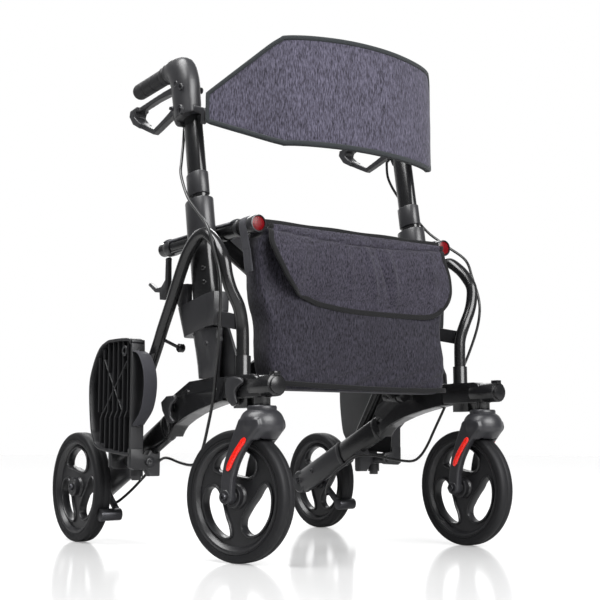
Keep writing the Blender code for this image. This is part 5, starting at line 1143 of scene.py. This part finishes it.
for v in body.data.vertices:
    if v.co.z > 0.504 or v.co.z < 0.270:
        held.add([v.index], 1.0, "REPLACE")
    elif abs(abs(v.co.x) - 0.19) < 0.012 and abs(v.co.y - (REAR_AXLE_Y + BAG_Y)) > 0.024:
        held.add([v.index], 0.6, "REPLACE")
cloth = body.modifiers.new("cloth", "CLOTH")
settings = cloth.settings
settings.quality, settings.mass = 6, 0.25
settings.tension_stiffness = settings.compression_stiffness = 12
settings.shear_stiffness, settings.bending_stiffness = 6, 0.25
settings.use_pressure, settings.uniform_pressure_force = True, 3.6
settings.vertex_group_mass = "held"
settings.effector_weights.gravity = 0.0
cloth.point_cache.frame_start, cloth.point_cache.frame_end = 1, CLOTH_STEPS
for frame_number in range(1, CLOTH_STEPS + 1):
    bpy.context.scene.frame_set(frame_number)
body = settled(body, "bag_body")
bpy.context.scene.frame_set(1)
for v, start in zip(body.data.vertices, rest):
    moved = v.co - start
    if moved.length > BAG_SWELL_LIMIT:
        v.co = start + moved.normalized() * BAG_SWELL_LIMIT
finer = body.modifiers.new("finer", "SUBSURF")
finer.levels = 1
body = settled(body, "bag_body")
body.name = "bag_body"
# Folds pulled in by the side seams, slack in the lower front, and a dent under the flap's corner.
for v in body.data.vertices:
    x, y, z = v.co
    front = 1.0 if y < REAR_AXLE_Y - 0.4700 else 0.0
    side_fold = max(0.0, 1 - abs(abs(x) - 0.188) / 0.030)
    lower = max(0.0, min(1.0, (0.40 - z) / 0.06))
    hem_part = max(0.0, min(1.0, (0.34 - z) / 0.05))
    v.co.y += front * 0.0022 * side_fold * math.sin(46 * z + 3 * x)
    v.co.y += front * 0.0030 * lower * math.sin(16 * x + 26 * z)
    v.co.y += front * 0.0012 * hem_part * math.sin(95 * x + 9 * math.sin(31 * z))
    v.co.y += front * 0.0110 * math.exp(-((x + 0.168) / 0.026) ** 2 - ((z - 0.445) / 0.045) ** 2)
    v.co.x += math.copysign(0.0030, x) * side_fold * math.sin(62 * z + 1.0) * (0.3 if z > 0.49 else 1.0)
body.data.materials.append(bag_cloth)
body.data.shade_smooth()
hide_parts("bag")
folds_away(body)

FLAP = [(-0.1880, 0.5270), (-0.1918, 0.4987), (-0.1838, 0.4759), (-0.1740, 0.4580), (-0.1619, 0.4403),
        (-0.1385, 0.4180), (-0.1150, 0.4080), (-0.0884, 0.4004), (-0.0261, 0.3935), (0.0455, 0.3920),
        (0.1204, 0.3925), (0.1550, 0.3955), (0.1780, 0.4050), (0.1960, 0.4230), (0.2040, 0.4440),
        (0.2010, 0.4700), (0.1930, 0.4900), (0.1870, 0.5060), (0.1860, 0.5270)]
FLAP_TOP, FLAP_DROP, FLAP_WIDTH, FLAP_STEPS = 0.5270, 0.13, 0.39, 110
FLAP_Y, FLAP_BELLY, SEAM_Z = -0.4895, 0.0105, 0.5085
# Each crease: where it crosses z = 0.50 m, how it slants, its width and its height.
CREASES = ((-0.040, 0.20, 0.0060, 0.0022), (0.004, 0.30, 0.0055, 0.0048), (0.028, 0.36, 0.0050, -0.0042),
           (0.050, 0.28, 0.0065, 0.0044), (-0.125, -0.25, 0.0110, 0.0026), (0.150, 0.10, 0.0090, 0.0020))
edge = [Vector((p.x, 0, p.z)) for p in flowing([(x, 0, z) for x, z in FLAP], 8)]


def flap_y(x, z):
    """How far the flap stands forward: it is laid over the bag's full front and creased by folding."""
    drop = max(0.0, min(1.0, (FLAP_TOP - z) / FLAP_DROP))
    y = FLAP_Y - FLAP_BELLY * math.sin(math.pi * min(1.0, drop * 1.15)) ** 0.7 * (1 - (abs(x) / 0.215) ** 6)
    y -= 0.0060 * max(0.0, min(1.0, (-0.105 - x) / 0.05)) * math.sin(math.pi * min(1.0, drop * 0.9))
    for x0, tilt, width, height in CREASES:
        line = x0 + tilt * (0.50 - z)
        y -= height * math.exp(-((x - line) / width) ** 2) * math.sin(math.pi * min(1.0, drop * 1.05))
    seam = math.exp(-((z - (SEAM_Z + 0.30 * x * x)) / 0.0022) ** 2)
    return y + 0.0040 * seam


rows = []
for a, b in list(zip(edge, edge[::-1]))[:(len(edge) + 1) // 2]:
    row = [a.lerp(b, k / FLAP_STEPS) for k in range(FLAP_STEPS + 1)]
    rows.append([at(p.x, flap_y(p.x, p.z), p.z) for p in row])
flap = panel(rows, 0.0024)
flap.name = "bag_flap"
sew(flap, flap_cloth, 50)
folds_away(flap)
line, normals, widths = [at(p.x, flap_y(p.x, p.z) - 0.0002, p.z) for p in edge], [], []
for i in range(len(line)):
    ahead = heading(line, i)
    inward = Vector((-ahead.z, 0, ahead.x)).normalized()
    widths.append((inward - ahead * inward.dot(ahead)).normalized())
    normals.append(ahead.cross(widths[-1]))
line = [p + w * 0.0034 for p, w in zip(line, widths)]
folds_away(sew(gather("flap_binding", [ribbon(line, normals, widths, 0.0088, 0.0044)]), bag_binding))

rim = ellipse(at(0.0102, BAG_Y, 0.2690), ACROSS, (0, 1, 0), 0.1875, 0.0268 + BAG_DEEPER, 120, 8)
rings = []
for i, p in enumerate(rim):
    ahead = heading(rim, i, closed=True)
    out = Vector((ahead.y, -ahead.x, 0))
    dip = 0.0022 * math.sin(9 * p.x) - 0.0035 * (abs(p.x) / 0.19) ** 2
    rings.append(ellipse(p - Vector((0, 0, dip)), out, (0, 0, 1), 0.0016, 0.0042, 12, 3))
folds_away(sew(gather("bag_bottom_binding", [skin(rings, closed=True)]), bag_binding))

line = [at(-0.1880 + 0.376 * i / 30, -0.4770, 0.5310 + 0.0006 * math.sin(i * 0.7)) for i in range(31)]
facing, width_way = Vector((0, -1, 0.25)).normalized(), Vector((0, 0.25, 1)).normalized()
tape = ribbon(line, [facing] * len(line), width_way, 0.0115, 0.0026)
folds_away(sew(gather("bag_top_tape", [tape]), bag_binding))

# Each strap goes over its rail and down the bag's side, where a patch is sewn on with a crossed box.
STRAP_WIDTH, STRAP_Y, STRAP_SLANT, STITCH_LENGTH, THREAD_RADIUS = 0.0210, -0.4440, 0.0020, 0.0032, 0.00042
STRAP_ROUTE = [(0.1895, 0.5330), (0.1930, 0.5400), (0.2015, 0.5430), (0.2100, 0.5395), (0.2150, 0.5320),
               (0.2152, 0.5200), (0.2130, 0.5050), (0.2115, 0.4880), (0.2095, 0.4700), (0.2078, 0.4510)]
PATCH_BACK, PATCH_FRONT, PATCH_LOW, PATCH_HIGH = -0.4540, -0.4700, 0.4545, 0.4840
PATCH_HEIGHTS = (0.4510, 0.4600, 0.4700, 0.4800, 0.4875)


def patch_x(z):
    """The outside of the strap at a height, where the stitches lie."""
    return 0.2078 + (z - 0.4510) * 0.10 + 0.0022


for label, side in SIDES.items():
    line = flowing([at(x, STRAP_Y - STRAP_SLANT * i, z) for i, (x, z) in enumerate(STRAP_ROUTE)], 6)
    normals = []
    for i in range(len(line)):
        normals.append(heading(line, i).cross(Vector((0, 1, 0))).normalized())
    strap = ribbon(line, normals, Vector((0, 1, 0)), STRAP_WIDTH, 0.0019)
    a, b = Vector((PATCH_FRONT, PATCH_LOW)), Vector((PATCH_BACK, PATCH_LOW))
    c, d = Vector((PATCH_BACK, PATCH_HIGH)), Vector((PATCH_FRONT, PATCH_HIGH))
    stitches = []
    for start, end in ((a, b), (b, c), (c, d), (d, a), (a, c), (b, d)):
        count = max(3, int((end - start).length / STITCH_LENGTH))
        for k in range(count):
            p, q = start.lerp(end, (k + 0.12) / count), start.lerp(end, (k + 0.88) / count)
            middle = p.lerp(q, 0.5)
            stitches.append(pipe([at(patch_x(p.y), *p), at(patch_x(middle.y) + 0.0004, *middle),
                                  at(patch_x(q.y), *q)], THREAD_RADIUS, 6))
    patch = ribbon([at(patch_x(z) - 0.0004, -0.4620, z) for z in PATCH_HEIGHTS],
                   [Vector((1, 0, -0.1)).normalized()] * len(PATCH_HEIGHTS), Vector((0, 1, 0)), 0.0220,
                   0.0022)
    piece = sew(gather(f"bag_strap_{label}", [strap, patch], side), webbing)
    folds_away(piece)
    folds_away(sew(gather(f"strap_stitches_{label}", stitches, side), binding))


# Backrest: a band of foam in melange cloth, bowed forward between the handles and bound
# all round with 8 mm tape; each end is screwed to an arm of its housing.
back_cloth = heather("purple_grey_melange_back_cloth", "#141219", "#605d6d", 0.95, 600.0, 110.0)
BACK_END, BACK_SHOULDER = 0.2450, 0.1575
# Top and bottom of the band at its ends, and how far each spreads by the shoulders.
BACK_TOP, BACK_LOW, BACK_RISE, BACK_FALL = 0.7580, 0.7060, 0.0900, 0.0460
BACK_PLAN = [(0.2450, -0.3930), (0.2200, -0.4200), (0.1900, -0.4530), (0.1575, -0.4860),
             (0.1250, -0.5020), (0.0800, -0.5130), (0.0400, -0.5185), (0.0, -0.5200)]


def across_back(piece):
    """Rides on the right handle, on a mesh of its own."""
    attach(piece, "handle_right")
    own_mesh(piece)


def back_edges(x):
    """The band's top and bottom at x: they spread from the ends to the shoulders, then crown."""
    share = max(0.0, min(1.0, (BACK_END - abs(x)) / (BACK_END - BACK_SHOULDER)))
    soft = share - 0.035 * math.exp(-((1 - share) / 0.10) ** 2)
    crown = 0.0060 * max(0.0, 1 - (x / BACK_SHOULDER) ** 2)
    return BACK_TOP + BACK_RISE * soft + crown, BACK_LOW - BACK_FALL * soft + crown * 0.3


plan = [Vector((x, y, 0)) for x, y in BACK_PLAN]
plan = flowing(plan + [Vector((-p.x, p.y, 0)) for p in plan[-2::-1]], 9)
rings, top_line, low_line, outs = [], [], [], []
for i, p in enumerate(plan):
    ahead = heading(plan, i)
    out = Vector((-ahead.y, ahead.x, 0))
    top, low = back_edges(p.x)
    ring = []
    for k in range(64):
        angle = 2 * math.pi * k / 64
        c, s = math.cos(angle), math.sin(angle)
        high = math.copysign(abs(s) ** 0.40, s)
        full = 0.62 + 0.38 * math.sqrt(max(0.0, 1 - high * high))
        fat = 0.0036 * math.copysign(abs(c) ** 0.40, c) * full
        z = (top + low) / 2 + high * (top - low) / 2
        puff = 0.0007 * math.sin(41 * p.x + 6 * math.sin(23 * z)) * (1 - high * high)
        ring.append(at(p.x, p.y, z) + out * (fat * 1.25 + math.copysign(puff, c)))
    rings.append(ring)
    top_line.append(at(p.x, p.y, top - 0.0030))
    low_line.append(at(p.x, p.y, low + 0.0030))
    outs.append(out)
band = sew(gather("back_band", [skin(rings)]), back_cloth, stands_for="backrest")
across_back(band)
# The binding's line: along the top, down one end, back along the bottom and up the other end.
loop = top_line + [top_line[-1].lerp(low_line[-1], k / 8) for k in range(1, 8)] + low_line[::-1]
loop += [low_line[0].lerp(top_line[0], k / 8) for k in range(1, 8)]
thick = outs + [outs[-1]] * 7 + outs[::-1] + [outs[0]] * 7
rings = []
for i, p in enumerate(loop):
    ahead = heading(loop, i, closed=True)
    inward = ahead.cross(thick[i]).normalized()
    rings.append(ellipse(p, inward, inward.cross(ahead), 0.0042, 0.0052, 16, 4))
across_back(sew(gather("back_binding", [skin(rings, closed=True)]), binding))
